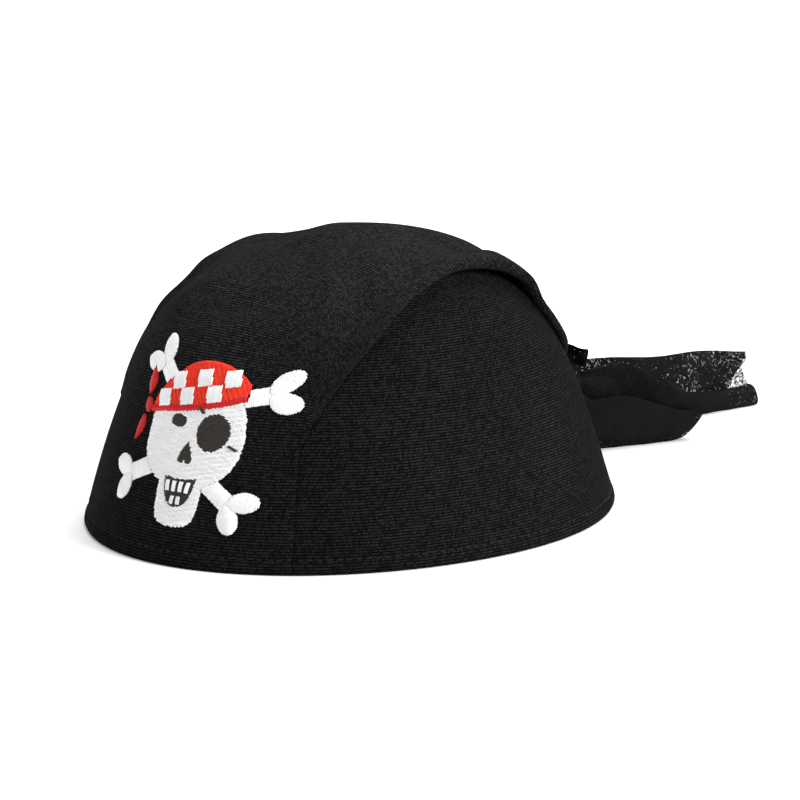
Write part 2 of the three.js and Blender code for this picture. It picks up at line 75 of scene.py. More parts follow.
# ---- Sizes and colours a maker would change ----
def length(name, description, default):
    return FloatProperty(
        name=name, description=description, default=default, min=0, max=1, unit="LENGTH", precision=5
    )


def power(name, description, default):
    return FloatProperty(name=name, description=description, default=default, min=0)


def colour(name, description, default):
    return FloatVectorProperty(
        name=name, description=description, default=default, size=3, min=0, max=1, subtype="COLOR"
    )


class HatSizes(bpy.types.PropertyGroup):
    rim_length: length("Rim length", "Front to back, outside the cloth", -2 * CROWN_LOW.y)
    rim_width: length("Rim width", "Ear to ear, outside the cloth", 2 * SIDE_HIGH.x)
    crown_height: length("Crown height", "Rim to crown", CROWN_HIGH.z - CROWN_STANDS_OFF)
    fold_lift: length("Fold lift", "How far the folded edge stands off the side cloth", 0.0046)
    cloth: length("Cloth thickness", "Thickness of the black cloth", 0.0004)
    sheer: length("Sheer thickness", "Thickness of the tails' sheer cloth", 0.00012)


class ClothLook(bpy.types.PropertyGroup):
    crown: colour("Crown cloth", "Black cloth of the crown", (0.0036, 0.0035, 0.0035))
    side: colour("Side cloth", "Black cloth of the side panels", (0.0045, 0.0042, 0.0038))
    sheer: colour("Sheer cloth", "Voile of the knot and tails", (0.0022, 0.002, 0.0019))
    felt: colour("Felt", "Stiffening felt", (0.03, 0.03, 0.03))
    rib: length("Rib pitch", "Distance between the cloth's ribs", 0.00094)
    yarn: length("Yarn pitch", "Distance between yarns along a rib", 0.00084)
    open_yarn: length("Voile pitch", "Distance between the voile's yarns", 0.00052)


class ThreadLook(bpy.types.PropertyGroup):
    white: colour("White thread", "Skull, bones, teeth and checks", (0.84, 0.84, 0.845))
    red: colour("Red thread", "Headscarf", (0.82, 0.03, 0.007))
    deep_red: colour("Deep red thread", "Hem and ends of the headscarf", (0.55, 0.004, 0.006))
    dark: colour("Dark thread", "Eye, patch, nose and mouth", (0.032, 0.026, 0.022))
    pitch: length("Row pitch", "Distance between rows of stitches", 0.00058)
    width: length("Thread width", "Width of one laid thread", 0.00064)


class StudioLook(bpy.types.PropertyGroup):
    floor: colour("Floor", "Pale floor", (0.9, 0.9, 0.9))
    surround: power("Surround light", "Even light from all round", 0.28)
    key: power("Key light", "Soft light from above, behind", 3.2)
    side: power("Side light", "Soft light from the wearer's left", 3.8)
    fill: power("Fill light", "Soft light from the front right", 1.3)


def look(group):
    return getattr(bpy.context.scene, "pirate_hat_" + group)


# ---- Small numeric helpers ----
def smooth(value, low, high):
    share = np.clip((np.asarray(value, float) - low) / (high - low), 0, 1)
    return share * share * (3 - 2 * share)


def mix(a, b, share):
    return a + (b - a) * share


def unit(vectors):
    return vectors / np.maximum(np.linalg.norm(vectors, axis=-1, keepdims=True), 1e-12)


def hump(value, width):
    """1 at zero, fading smoothly on both sides."""
    return np.exp(-((value / width) ** 2))


def distances(line):
    """The distance along a line to each of its points."""
    return np.concatenate([[0], np.cumsum(np.linalg.norm(np.diff(line, axis=0), axis=1))])


def flowing_path(points, steps):
    """A smooth line through the given points, as evenly stepped points."""
    points = np.asarray(points, float)
    last = len(points) - 1
    found = []
    for place in np.linspace(0, last, steps):
        i = min(int(place), last - 1)
        t = place - i
        before, a, b, after = points[max(i - 1, 0)], points[i], points[i + 1], points[min(i + 2, last)]
        leave, arrive = (b - before) / 2, (after - a) / 2
        cubic, square = 2 * a - 2 * b + leave + arrive, 3 * b - 3 * a - 2 * leave - arrive
        found.append(cubic * t**3 + square * t**2 + leave * t + a)
    return np.array(found)


# ---- The dome that the cloth lies on, in millimetres and degrees ----
WALL_LEAN = 0.25
SHOULDER = 13
CROWN_FLATNESS = 0.56
BACK_WIDENING = 0.05
BACK_DROP = 0.02
SEAM_ANGLE = 35
FOLD_LINE = [(35, 38), (47, 60), (68, 77), (95, 82), (121, 76), (140, 52), (180, 26)]
FOLD_SPREAD = 14
TUCK = 8
COLUMN_STEP = 1.25  # degrees between the cloth's columns
SECTION_POINTS, RIM_POINTS = 1601, 1441


class Dome:
    """A section from rim to crown carried round an oval that is wider at the back."""

    def __init__(self):
        sizes = look("sizes")
        self.half_length = sizes.rim_length / MM / 2
        self.half_width = sizes.rim_width / MM / 2
        self.height = sizes.crown_height / MM
        self.lift = sizes.fold_lift / MM
        self.radius = (self.half_length + self.half_width) / 2
        t = np.linspace(0, 1, SECTION_POINTS)
        corners = [
            (self.radius, 0),
            (self.radius * (1 - WALL_LEAN), self.height - SHOULDER),
            (self.radius * CROWN_FLATNESS, self.height),
            (0, self.height),
        ]
        weights = [(1 - t) ** 3, 3 * (1 - t) ** 2 * t, 3 * (1 - t) * t**2, t**3]
        self.reach = sum(w * c[0] for w, c in zip(weights, corners))
        self.rise = sum(w * c[1] for w, c in zip(weights, corners))
        steps = np.hypot(np.diff(self.reach), np.diff(self.rise))
        self.run = np.concatenate([[0], np.cumsum(steps)])
        self.length = self.run[-1]
        fold = flowing_path(FOLD_LINE, 200)
        self.fold_angles, self.fold_runs = fold[:, 0], self.run_at(fold[:, 1])
        round_rim = np.linspace(-180, 180, RIM_POINTS)
        arc = distances(self.surface(round_rim, 0))
        self.rim_angles, self.rim_arc = round_rim, arc - arc[-1] / 2
        self.rim_run = arc[-1]

    def run_at(self, height):
        """Distance up the cloth from the rim to a height."""
        return np.interp(height, self.rise, self.run)

    def share(self, run):
        return np.interp(run, self.run, self.reach) / self.radius

    def surface(self, angle, run):
        angle, run = np.broadcast_arrays(np.asarray(angle, float), np.asarray(run, float))
        share = self.share(run)
        turn = np.radians(angle)
        y = -self.half_length * share * np.cos(turn)
        along = y / self.half_length
        x = self.half_width * share * np.sin(turn) * (1 + BACK_WIDENING * along)
        z = np.interp(run, self.run, self.rise) * (1 - BACK_DROP * along)
        return np.stack([x, y, z], -1)

    def outward(self, angle, run):
        angle, run = np.broadcast_arrays(np.asarray(angle, float), np.asarray(run, float))
        near = np.minimum(run, 0.985 * self.length)
        step = 0.002 * self.length
        below = self.surface(angle, np.maximum(near - step, 0))
        above = self.surface(angle, near + step)
        round_way = self.surface(angle + 1, near) - self.surface(angle - 1, near)
        way = unit(np.cross(round_way, above - below))
        way[..., 2] *= smooth(run, 0, 0.1 * self.length)
        way = unit(way)
        top = smooth(run, 0.97 * self.length, self.length)[..., None]
        return unit(way * (1 - top) + np.array([0, 0, 1.0]) * top)

    def point(self, angle, run, offset):
        offset = np.broadcast_to(np.asarray(offset, float), np.broadcast(angle, run).shape)
        return self.surface(angle, run) + self.outward(angle, run) * offset[..., None]

    def down(self, angle, run):
        return unit(self.surface(angle, run - 0.3) - self.surface(angle, run + 0.3))

    def fold_run(self, angle):
        return np.interp(np.abs(angle), self.fold_angles, self.fold_runs)

    def crown_offset(self, angle, run):
        """How far the crown cloth's face stands off the dome, without its creases."""
        height, away = np.interp(run, self.run, self.rise), np.abs(angle)
        over_side = np.maximum(smooth(height, 38, 50), smooth(away, 70, 90))
        above_fold = np.maximum(run - self.fold_run(angle), 0)
        bulge = hump(above_fold, FOLD_SPREAD)
        along = smooth(away, SEAM_ANGLE + 5, 95) * (1 - 0.55 * smooth(away, 105, 140))
        return over_side + self.lift * bulge * along

    def rim_pattern(self, angle, run):
        """Weave coordinates, in millimetres, of cloth whose ribs run round the rim."""
        arc = np.interp(angle, self.rim_angles, self.rim_arc)
        return np.stack([arc * self.share(run), run], -1)

    def crown_pattern(self, angle, run):
        """Ribs that run round the brow and then straight across the crown."""
        low = self.rim_pattern(angle, run)
        out = self.length - run
        turn = np.radians(angle)
        high = np.stack([out * np.sin(turn), self.length - out * np.cos(turn)], -1)
        level = run / self.length
        away = np.abs(angle)
        beside = np.maximum(smooth(away, 30, 65) * smooth(level, 0.25, 0.45), smooth(away, 70, 95))
        share = np.maximum(smooth(level, 0.35, 0.7), beside)
        return mix(low, high, share[..., None])


# Creases in the crown cloth: a line on the dome in millimetres, how far it moves
# the cloth outwards, the crease's half width, and how soon its ends fade.
CREASES = [
    ([(-16, -52, 85), (2, -54, 85), (18, -46, 87)], -1.3, 12, 0.35),
    ([(0, -12, 94), (6, 2, 94), (18, 12, 93)], 1.3, 10, 0.4),
    ([(-58, -50, 50), (-46, -62, 52), (-30, -72, 54), (-14, -78, 52)], 0.5, 15, 0.35),
    ([(26, 22, 90), (40, 34, 84), (48, 41, 77), (52, 46, 70)], 2.2, 12, 0.35),
    ([(-30, 28, 89), (-40, 36, 84), (-48, 42, 77), (-52, 46, 70)], 2.2, 9, 0.25),
    ([(7, 25, 92), (29, 14, 91), (27, 36, 86), (30, 49, 80), (43, 45, 75)], -1.5, 6, 0.3),
    ([(66, -14, 74), (63, 8, 78), (57, 26, 79), (46, 46, 75), (30, 62, 68)], -1.6, 4.2, 0.25),
    ([(58, -34, 66), (63, -18, 72), (66, 0, 75)], -0.9, 3.2, 0.35),
    ([(23, -23, 92), (34, -40, 84), (40, -51, 74), (46, -53, 64), (50, -56, 54)], -1.1, 4.5, 0.3),
    ([(17, -6, 94), (41, -30, 84), (50, -32, 76), (56, -38, 66)], 1.0, 5.5, 0.3),
    ([(28, -30, 88), (38, -48, 74), (43, -58, 62)], 0.7, 4, 0.3),
    ([(-7, -64, 78), (4, -59, 83), (14, -52, 86)], -1.3, 9, 0.3),
    ([(-8, -53, 86), (-10, -62, 79), (-12, -71, 70)], -1.2, 8, 0.3),
    ([(20, -62, 76), (12, -45, 88), (2, -25, 93)], -0.9, 9, 0.3),
    ([(-2, -5, 94), (-1, -14, 94), (3, -22, 93)], 1.1, 9, 0.3),
    ([(43, -67, 45), (41, -71, 41), (38, -75, 36), (35, -80, 28)], -0.9, 2.6, 0.5),
    ([(46, -62, 47), (43, -68, 42), (41, -72, 38)], 0.8, 3, 0.5),
    ([(-14, -28, 92), (-33, -39, 84), (-44, -50, 70), (-50, -54, 58)], -1.2, 5, 0.3),
    ([(-12, 4, 94), (-40, -20, 86), (-56, -28, 74)], 0.9, 6, 0.3),
    ([(-66, -10, 74), (-64, 10, 77), (-56, 30, 77), (-42, 50, 73), (-28, 64, 66)], -1.5, 4.4, 0.25),
    ([(-6, 22, 93), (-24, 34, 88), (-38, 46, 78)], -1.0, 6, 0.3),
    ([(4, 40, 88), (14, 60, 76), (12, 78, 60), (6, 90, 44)], -1.2, 5, 0.3),
    ([(-6, 44, 87), (-16, 62, 74), (-12, 80, 57), (-5, 91, 42)], -1.1, 5, 0.3),
    ([(0, 52, 83), (1, 74, 66), (0, 90, 46)], 1.1, 5, 0.3),
    ([(30, 62, 66), (22, 78, 52), (10, 92, 36)], -1.0, 4, 0.3),
    ([(-32, 60, 66), (-24, 77, 52), (-10, 92, 36)], -1.0, 4, 0.3),
]
CREASE_DEPTH = 1.6
KNOT_ROOT = np.array([0, 97, 27])  # where the crown cloth runs into the knot
SLUMP_WAY = (0.755, 0.656, 0)  # across the crown, from its front left to its back right
SLUMP_DEPTH = 2.7


def crease_shift(points, path, depth, width, fade):
    line = flowing_path(path, 18)
    run = distances(line)
    nearest = np.full(len(points), 1e9)
    along = np.zeros(len(points))
    for a, b, start, step in zip(line[:-1], line[1:], run, np.diff(run)):
        way = (b - a) / step
        t = np.clip((points - a) @ way, 0, step)
        away = np.linalg.norm(points - a - t[:, None] * way, axis=1)
        closer = away < nearest
        nearest[closer] = away[closer]
        along[closer] = ((start + t) / run[-1])[closer]
    ends = smooth(along, 0, fade) * smooth(1 - along, 0, fade)
    return depth * ends * hump(nearest, width)


def gathers(points):
    """Pleats that fan out from the knot over the back of the crown."""
    away = points - KNOT_ROOT
    distance = np.linalg.norm(away, axis=1)
    fan = np.arctan2(away[:, 0], np.maximum(away[:, 2], 0.1))
    strength = smooth(distance, 2, 12) * hump(distance, 38) * smooth(points[:, 1], 40, 70)
    return strength * (1.4 * np.cos(11 * fan + 0.6) + 0.6 * np.cos(19 * fan + 2))


def softness(points, size, waves):
    x, y, z = points.T
    sway = np.sin(x / waves + 1.3 * np.sin(y / waves / 1.7))
    sway = sway + np.sin(y / waves / 1.2 - z / waves / 1.5 + 1)
    return size * (sway + np.sin(z / waves + x / waves / 2 + 2)) / 3


def slump(points):
    """The crown's front left sinks over the edge of the stiffener."""
    across = points @ SLUMP_WAY
    dip = smooth(across, -70, -50) * (1 - smooth(across, -22, -3))
    return -SLUMP_DEPTH * dip * smooth(points[:, 2], 60, 78) * smooth(points[:, 1], -60, -34)


def fold_pad(above):
    """The cloth swells just above the fold and dips behind the swelling."""
    return 2.3 * hump(above - 3.6, 4.4) - 1.6 * hump(above - 15, 5.5)


def crown_creases(points):
    shift = softness(points, 0.28, 9) * smooth(points[:, 2], 40, 70) + gathers(points) + slump(points)
    for path, depth, width, fade in CREASES:
        shift = shift + CREASE_DEPTH * crease_shift(points, path, depth, width, fade)
    return shift


# ---- Making meshes ----
def add_object(name, data):
    made = bpy.data.objects.new(name, data)
    bpy.context.scene.collection.objects.link(made)
    return made


def add_grid(bm, layer, columns, rows, place):
    """Adds a grid whose corners place(s, t) moves, giving metres and weave metres."""
    made = bmesh.ops.create_grid(bm, x_segments=columns, y_segments=rows, size=1)["verts"]
    spots = (np.array([v.co[:2] for v in made]) + 1) / 2
    points, pattern = place(spots[:, 0], spots[:, 1])
    uv = {v: p for v, p in zip(made, (pattern * MM).tolist())}
    for face in {f for v in made for f in v.link_faces}:
        for loop in face.loops:
            loop[layer].uv = uv[loop.vert]
    for vert, point in zip(made, (points * MM).tolist()):
        vert.co = point
    return made


def finish_mesh(name, bm, materials, centre=None, merge=2e-6):
    bmesh.ops.remove_doubles(bm, verts=bm.verts[:], dist=merge)
    bmesh.ops.dissolve_degenerate(bm, edges=bm.edges[:], dist=1e-7)
    bmesh.ops.recalc_face_normals(bm, faces=bm.faces[:])
    if centre is not None:
        middle = Vector(centre) * MM
        facing = sum(f.normal.dot(f.calc_center_median() - middle) * f.calc_area() for f in bm.faces)
        if facing < 0:
            bmesh.ops.reverse_faces(bm, faces=bm.faces[:])
    mesh = bpy.data.meshes.new(name)
    bm.to_mesh(mesh)
    bm.free()
    for material in materials:
        mesh.materials.append(material)
    mesh.polygons.foreach_set("use_smooth", [True] * len(mesh.polygons))
    return add_object(name, mesh)


def thicken(piece, thickness, offset=-1.0):
    """Gives a sheet its thickness, inwards from the face that shows."""
    solid = piece.modifiers.new("cloth thickness", "SOLIDIFY")
    solid.thickness = thickness
    solid.offset = offset
    solid.use_even_offset = False
    return piece


def new_cloth():
    bm = bmesh.new()
    return bm, bm.loops.layers.uv.new("weave")


TUBE_STEPS, TUBE_SIDES = 4, 5


def sew(name, threads, lay, material_of, materials):
    """One closed, tapered tube for each thread. A thread is its two ends in the
    cloth's own millimetres, its lift, width, height and arch."""
    bm = bmesh.new()
    layer = bm.loops.layers.uv.new("ply")
    tone = bm.verts.layers.float.new("tone")
    made = []
    for _ in threads:
        made += bmesh.ops.create_grid(bm, x_segments=TUBE_STEPS, y_segments=TUBE_SIDES, size=1)["verts"]
    spots = (np.array([v.co[:2] for v in made]) + 1) / 2
    each = (TUBE_STEPS + 1) * (TUBE_SIDES + 1)
    numbers = np.repeat(np.arange(len(threads)), each)
    data = np.array([t["ends"] for t in threads], float)[numbers]
    start, end = data[:, 0], data[:, 1]
    lift, width, height, arch = (
        np.array([t[key] for t in threads], float)[numbers] for key in ("lift", "width", "height", "arch")
    )
    s, t = spots[:, 0], spots[:, 1]
    way = end - start
    run = np.linalg.norm(way, axis=1)
    square = np.stack([-way[:, 1], way[:, 0]], -1) / run[:, None]
    tip = np.minimum(0.25 / run, 0.25)
    s = np.select([s < 0.01, s > 0.99, s < 0.3, s > 0.7], [0, 1, tip, 1 - tip], s)
    swell = np.where((s == 0) | (s == 1), 0.25, 1)
    spin = 2 * math.pi * t
    flat = start + way * s[:, None] + square * (width / 2 * swell * np.cos(spin))[:, None]
    dip = 0.12 * ((s == 0) | (s == 1))
    rise = lift - dip + arch * np.sin(math.pi * s) + height / 2 * swell * np.sin(spin)
    points = lay(flat[:, 0], flat[:, 1], rise) * MM
    uv = np.stack([s * run * MM, t * width * MM * 3], -1).tolist()
    tones = np.array([thread["tone"] for thread in threads])[numbers].tolist()
    spot_of = {vert: i for i, vert in enumerate(made)}
    for face in bm.faces:
        first = spot_of[face.verts[0]]
        face.material_index = material_of(threads[numbers[first]])
        for loop in face.loops:
            loop[layer].uv = uv[spot_of[loop.vert]]
    for vert, point, value in zip(made, points.tolist(), tones):
        vert.co = point
        vert[tone] = value
    return finish_mesh(name, bm, materials)


# ---- Shader building ----
def put(tree, kind, **settings):
    node = tree.nodes.new(kind)
    for key, value in settings.items():
        setattr(node, key, value)
    return node


def plug(tree, socket, value):
    """Links a socket to another, or sets its value."""
    if isinstance(value, bpy.types.NodeSocket):
        tree.links.new(value, socket)
    else:
        socket.default_value = value


def feed(tree, node, **inputs):
    """Sets or links a node's inputs by name, with underscores for spaces."""
    for key, value in inputs.items():
        plug(tree, node.inputs[key.replace("_", " ")], value)
    return node


def calc(tree, operation, *values):
    node = put(tree, "ShaderNodeMath", operation=operation)
    for socket, value in zip(node.inputs, values):
        plug(tree, socket, value)
    return node.outputs[0]


def blend_colours(tree, share, first, second):
    node = put(tree, "ShaderNodeMix", data_type="RGBA")
    for index, value in ((0, share), (6, (*first, 1)), (7, (*second, 1))):
        plug(tree, node.inputs[index], value)
    return node.outputs[2]


def new_group(name, inputs, outputs):
    tree = bpy.data.node_groups.new(name, "ShaderNodeTree")
    for label, kind, default in inputs:
        socket = tree.interface.new_socket(name=label, in_out="INPUT", socket_type=kind)
        if default is not None:
            socket.default_value = default
    for label in outputs:
        tree.interface.new_socket(name=label, in_out="OUTPUT", socket_type="NodeSocketFloat")
    return tree, put(tree, "NodeGroupInput").outputs, put(tree, "NodeGroupOutput").inputs


def noise(tree, vector, scale, detail=2.0, roughness=0.5):
    node = put(tree, "ShaderNodeTexNoise")
    feed(tree, node, Vector=vector, Scale=scale, Detail=detail, Roughness=roughness)
    return node.outputs["Fac"]


def axes(tree, vector):
    node = put(tree, "ShaderNodeSeparateXYZ")
    tree.links.new(vector, node.inputs[0])
    return node.outputs


def ridge(tree, run):
    """Rises to 1 and falls back in each unit of run, as a yarn does."""
    return calc(tree, "SINE", calc(tree, "MULTIPLY", calc(tree, "FRACT", run), math.pi))


def ramp(tree, value, start, stop, low=0.0, high=1.0):
    node = put(tree, "ShaderNodeMapRange", interpolation_type="SMOOTHSTEP")
    feed(tree, node, Value=value, From_Min=start, From_Max=stop, To_Min=low, To_Max=high)
    return node.outputs[0]


def cell_value(tree, column, row):
    """A chance value for each crossing of the weave."""
    cell = put(tree, "ShaderNodeCombineXYZ")
    feed(tree, cell, X=column, Y=row)
    chance = put(tree, "ShaderNodeTexWhiteNoise")
    feed(tree, chance, Vector=cell.outputs[0])
    return chance.outputs["Value"]


def ribbed_weave():
    """Thick ribs crossed by fine yarns, as in the hat's black cloth."""
    tree, given, out = new_group(
        "Ribbed weave",
        [
            ("Pattern", "NodeSocketVector", None),
            ("Rib", "NodeSocketFloat", 0.001),
            ("Yarn", "NodeSocketFloat", 0.0005),
            ("Wander", "NodeSocketFloat", 0.5),
        ],
        ["Height", "Shade"],
    )
    place = axes(tree, given["Pattern"])
    drift = calc(tree, "SUBTRACT", noise(tree, given["Pattern"], 90.0), 0.5)
    drift = calc(tree, "MULTIPLY", drift, given["Wander"])
    across = calc(tree, "ADD", calc(tree, "DIVIDE", place[0], given["Yarn"]), drift)
    up = calc(tree, "ADD", calc(tree, "DIVIDE", place[1], given["Rib"]), drift)
    row = calc(tree, "FLOOR", up)
    shifted = calc(tree, "MULTIPLY_ADD", row, 0.5, across)
    crossing = calc(tree, "MULTIPLY_ADD", ridge(tree, shifted), 0.8, 0.2)
    height = calc(tree, "MULTIPLY", calc(tree, "POWER", ridge(tree, up), 1.2), crossing)
    glint = cell_value(tree, calc(tree, "FLOOR", shifted), row)
    glint = calc(tree, "MULTIPLY_ADD", glint, 0.95, 0.4)
    slub = calc(tree, "MULTIPLY_ADD", noise(tree, given["Pattern"], 700.0, 3.0, 0.7), 1.0, 0.5)
    tree.links.new(height, out["Height"])
    tree.links.new(calc(tree, "MULTIPLY", height, calc(tree, "MULTIPLY", slub, glint)), out["Shade"])


def open_weave():
    """Fine yarns with square holes between them. Cover is 1 on a yarn, 0 in a hole."""
    tree, given, out = new_group(
        "Open weave",
        [
            ("Pattern", "NodeSocketVector", None),
            ("Yarn", "NodeSocketFloat", 0.0005),
            ("Hole", "NodeSocketFloat", 0.6),
        ],
        ["Height", "Cover"],
    )
    drift = calc(tree, "SUBTRACT", noise(tree, given["Pattern"], 120.0), 0.5)
    runs = [
        calc(tree, "ADD", calc(tree, "DIVIDE", place, given["Yarn"]), drift)
        for place in axes(tree, given["Pattern"])[:2]
    ]
    crushed = cell_value(tree, *(calc(tree, "FLOOR", run) for run in runs))
    uneven = calc(tree, "MULTIPLY_ADD", crushed, 0.5, given["Hole"])
    for size, strength in ((60.0, 0.9), (800.0, 2.2)):
        patch = calc(tree, "SUBTRACT", noise(tree, given["Pattern"], size, 1.0), 0.5)
        uneven = calc(tree, "MULTIPLY_ADD", patch, strength, uneven)
    middle = calc(tree, "MINIMUM", *(ridge(tree, run) for run in runs))
    hole = calc(tree, "GREATER_THAN", middle, calc(tree, "SUBTRACT", 1.55, uneven))
    tree.links.new(calc(tree, "SUBTRACT", 1.0, middle), out["Height"])
    tree.links.new(calc(tree, "SUBTRACT", 1.0, hole), out["Cover"])


def twisted_ply():
    """The slanted ply of a shiny thread, along and round each laid thread."""
    tree, given, out = new_group(
        "Twisted ply",
        [("Along", "NodeSocketVector", None), ("Turn", "NodeSocketFloat", 0.0009)],
        ["Height", "Shade"],
    )
    slant = calc(tree, "ADD", *axes(tree, given["Along"])[:2])
    ply = ridge(tree, calc(tree, "DIVIDE", slant, given["Turn"]))
    tree.links.new(ply, out["Height"])
    tree.links.new(calc(tree, "MULTIPLY_ADD", ply, 0.3, 0.7), out["Shade"])


def new_material(name, **settings):
    material = bpy.data.materials.new(name)
    material.use_nodes = True
    tree = material.node_tree
    shader = tree.nodes["Principled BSDF"]
    for key, value in settings.items():
        shader.inputs[key.replace("_", " ")].default_value = value
    return material, tree, shader


def use_group(tree, group, **inputs):
    node = put(tree, "ShaderNodeGroup")
    node.node_tree = bpy.data.node_groups[group]
    feed(tree, node, **inputs)
    return node.outputs


def bump(tree, shader, height, distance, strength=1.0):
    node = put(tree, "ShaderNodeBump")
    feed(tree, node, Height=height, Distance=distance, Strength=strength)
    tree.links.new(node.outputs["Normal"], shader.inputs["Normal"])


# Where painted light and shade change the cloth's tone: between two heights, and two distances behind the
# middle.
PAINTED_LIGHT_FROM, PAINTED_LIGHT_TO = 0.03, 0.09
FRONT_SHADE_FROM, FRONT_SHADE_TO = -0.08, -0.028
BACK_SHADE_FROM, BACK_SHADE_TO = 0.01, 0.06


def ribbed_cloth(name, base, painted_top_light=1.0, front=1.0, back=1.0):
    """Painted light lightens the cloth towards the crown, where the light falls on it.
    Front and back are painted shade that darkens the cloth at each end."""
    cloth = look("cloth")
    sheen = {"Sheen_Weight": 0.003, "Sheen_Roughness": 0.5, "Sheen_Tint": (0.8, 0.82, 0.9, 1)}
    material, tree, shader = new_material(name, Specular_IOR_Level=0.02, **sheen)
    pattern = put(tree, "ShaderNodeUVMap", uv_map="weave").outputs[0]
    weave = use_group(tree, "Ribbed weave", Pattern=pattern, Rib=cloth.rib, Yarn=cloth.yarn, Wander=0.55)
    where = put(tree, "ShaderNodeTexCoord").outputs["Object"]
    patchy = noise(tree, where, 26.0, 3.0)
    level = calc(tree, "MULTIPLY", weave["Shade"], calc(tree, "MULTIPLY_ADD", patchy, 0.6, 0.7))
    _, behind, up = axes(tree, where)
    for change in (
        # painted light: lighter towards the crown
        ramp(tree, up, PAINTED_LIGHT_FROM, PAINTED_LIGHT_TO, 1.0, painted_top_light),
        # painted shade: darker towards the front and towards the back
        ramp(tree, behind, FRONT_SHADE_FROM, FRONT_SHADE_TO, front, 1.0),
        ramp(tree, behind, BACK_SHADE_FROM, BACK_SHADE_TO, 1.0, back),
    ):
        level = calc(tree, "MULTIPLY", level, change)
    deep = [part * 0.02 for part in base]
    pale = [part * 4.4 for part in base]
    colour_out = blend_colours(tree, level, deep, pale)
    colour_out.node.clamp_factor = False
    tree.links.new(colour_out, shader.inputs["Base Color"])
    tree.links.new(calc(tree, "MULTIPLY_ADD", weave["Height"], -0.2, 0.95), shader.inputs["Roughness"])
    bump(tree, shader, weave["Height"], 0.00028, 0.9)
    return material


TURNED_EDGE = 0.4  # the voile's holes are this much smaller where its edge is turned over
EDGE_FROM, EDGE_TO = 0.012, 0.014
CORNER_ACROSS, CORNER_ALONG = (0.037, 0.039), (0.095, 0.098)


def voile(name, base, hole, loose_end=0.0):
    """Open cloth that lies looser still at the far corner of a tail."""
    cloth = look("cloth")
    material, tree, shader = new_material(
        name, Roughness=0.7, Sheen_Weight=0.004, Sheen_Roughness=0.4, Specular_IOR_Level=0.06
    )
    pattern = put(tree, "ShaderNodeUVMap", uv_map="weave").outputs[0]
    across, along, _ = axes(tree, pattern)
    inside_edge = ramp(tree, across, EDGE_FROM, EDGE_TO)
    opened = calc(tree, "MULTIPLY_ADD", inside_edge, TURNED_EDGE, hole - TURNED_EDGE)
    corner = calc(tree, "MULTIPLY", ramp(tree, across, *CORNER_ACROSS), ramp(tree, along, *CORNER_ALONG))
    opened = calc(tree, "MULTIPLY_ADD", corner, loose_end, opened)
    weave = use_group(tree, "Open weave", Pattern=pattern, Yarn=cloth.open_yarn, Hole=opened)
    pale = [part * 2.4 for part in base]
    tree.links.new(blend_colours(tree, weave["Height"], base, pale), shader.inputs["Base Color"])
    tree.links.new(weave["Cover"], shader.inputs["Alpha"])
    bump(tree, shader, weave["Height"], 0.0001, 0.6)
    return material


def shiny_thread(name, base, gloss=0.42):
    material, tree, shader = new_material(name, Roughness=gloss, Specular_IOR_Level=0.25)
    along = put(tree, "ShaderNodeUVMap", uv_map="ply").outputs[0]
    ply = use_group(tree, "Twisted ply", Along=along, Turn=0.0009)
    tone = put(tree, "ShaderNodeAttribute", attribute_name="tone").outputs["Fac"]
    level = calc(tree, "MULTIPLY", ply["Shade"], tone)
    deep = [part * 0.45 for part in base]
    tree.links.new(blend_colours(tree, level, deep, base), shader.inputs["Base Color"])
    bump(tree, shader, ply["Height"], 0.00008, 0.5)
    return material


def pressed_felt(name, base, grain):
    """Matted fibres, or the flecks of a pressed sheet, in the object's own space."""
    material, tree, shader = new_material(name, Roughness=0.95, Specular_IOR_Level=0.15)
    where = put(tree, "ShaderNodeTexCoord").outputs["Object"]
    fibres = noise(tree, where, grain, 6.0, 0.75)
    deep = [part * 0.5 for part in base]
    pale = [min(part * 1.7, 1) for part in base]
    tree.links.new(blend_colours(tree, fibres, deep, pale), shader.inputs["Base Color"])
    bump(tree, shader, fibres, 0.0002, 0.7)
    return material


MATERIALS = {}


def make_materials():
    ribbed_weave()
    open_weave()
    twisted_ply()
    cloth, thread = look("cloth"), look("thread")
    # 1.9 is painted light, lightening the crown cloth towards its top
    MATERIALS["crown cloth"] = ribbed_cloth("Black crown cloth", cloth.crown, 1.9)
    # 0.76 and 0.5 are painted shade at the side cloth's front and back
    MATERIALS["side cloth"] = ribbed_cloth("Black side cloth", cloth.side, 1.0, 0.76, 0.5)
    MATERIALS["tape"] = ribbed_cloth("Black sweatband tape", [part * 1.3 for part in cloth.side])
    MATERIALS["lining"] = voile("Lining cloth", [part * 0.9 for part in cloth.side], 0.05)
    MATERIALS["voile"] = voile("Sheer voile", cloth.sheer, 0.48, 0.24)
    MATERIALS["gathered voile"] = voile("Gathered voile", cloth.sheer, -0.25)
    MATERIALS["felt"] = pressed_felt("Stiff felt", cloth.felt, 900.0)
    MATERIALS["backing"] = pressed_felt("Backing sheet", [part * 2 for part in cloth.felt], 400.0)
    MATERIALS["white"] = shiny_thread("White thread", thread.white)
    MATERIALS["red"] = shiny_thread("Red thread", thread.red)
    MATERIALS["deep red"] = shiny_thread("Deep red thread", thread.deep_red, 0.34)
    MATERIALS["dark"] = shiny_thread("Dark thread", thread.dark, 0.6)
    MATERIALS["seam"] = shiny_thread("Black seam thread", [part * 1.3 for part in cloth.side], 0.8)


# ---- The cloth body ----
SURFACE_ROWS, LIP_ROWS, UNDER_ROWS = 100, 12, 6
LIP_UNDERSIDE = 0.35  # the folded-under cloth lies this far over the side cloth
TURNED_UNDER = 5
LIP_RAISED = 2.2  # the rolled edge rides this far above the fold line
STITCH_HEIGHT = 4.7
DEEPEST_DIP = 2.8  # the creases sink no further, so that the cloth clears the stiffener
KNOT_PULL = 5.4  # how far the knot lifts the crown cloth's tip off the side cloth
LINING_INSET, LINING_THICKNESS = 4.02, 0.00045


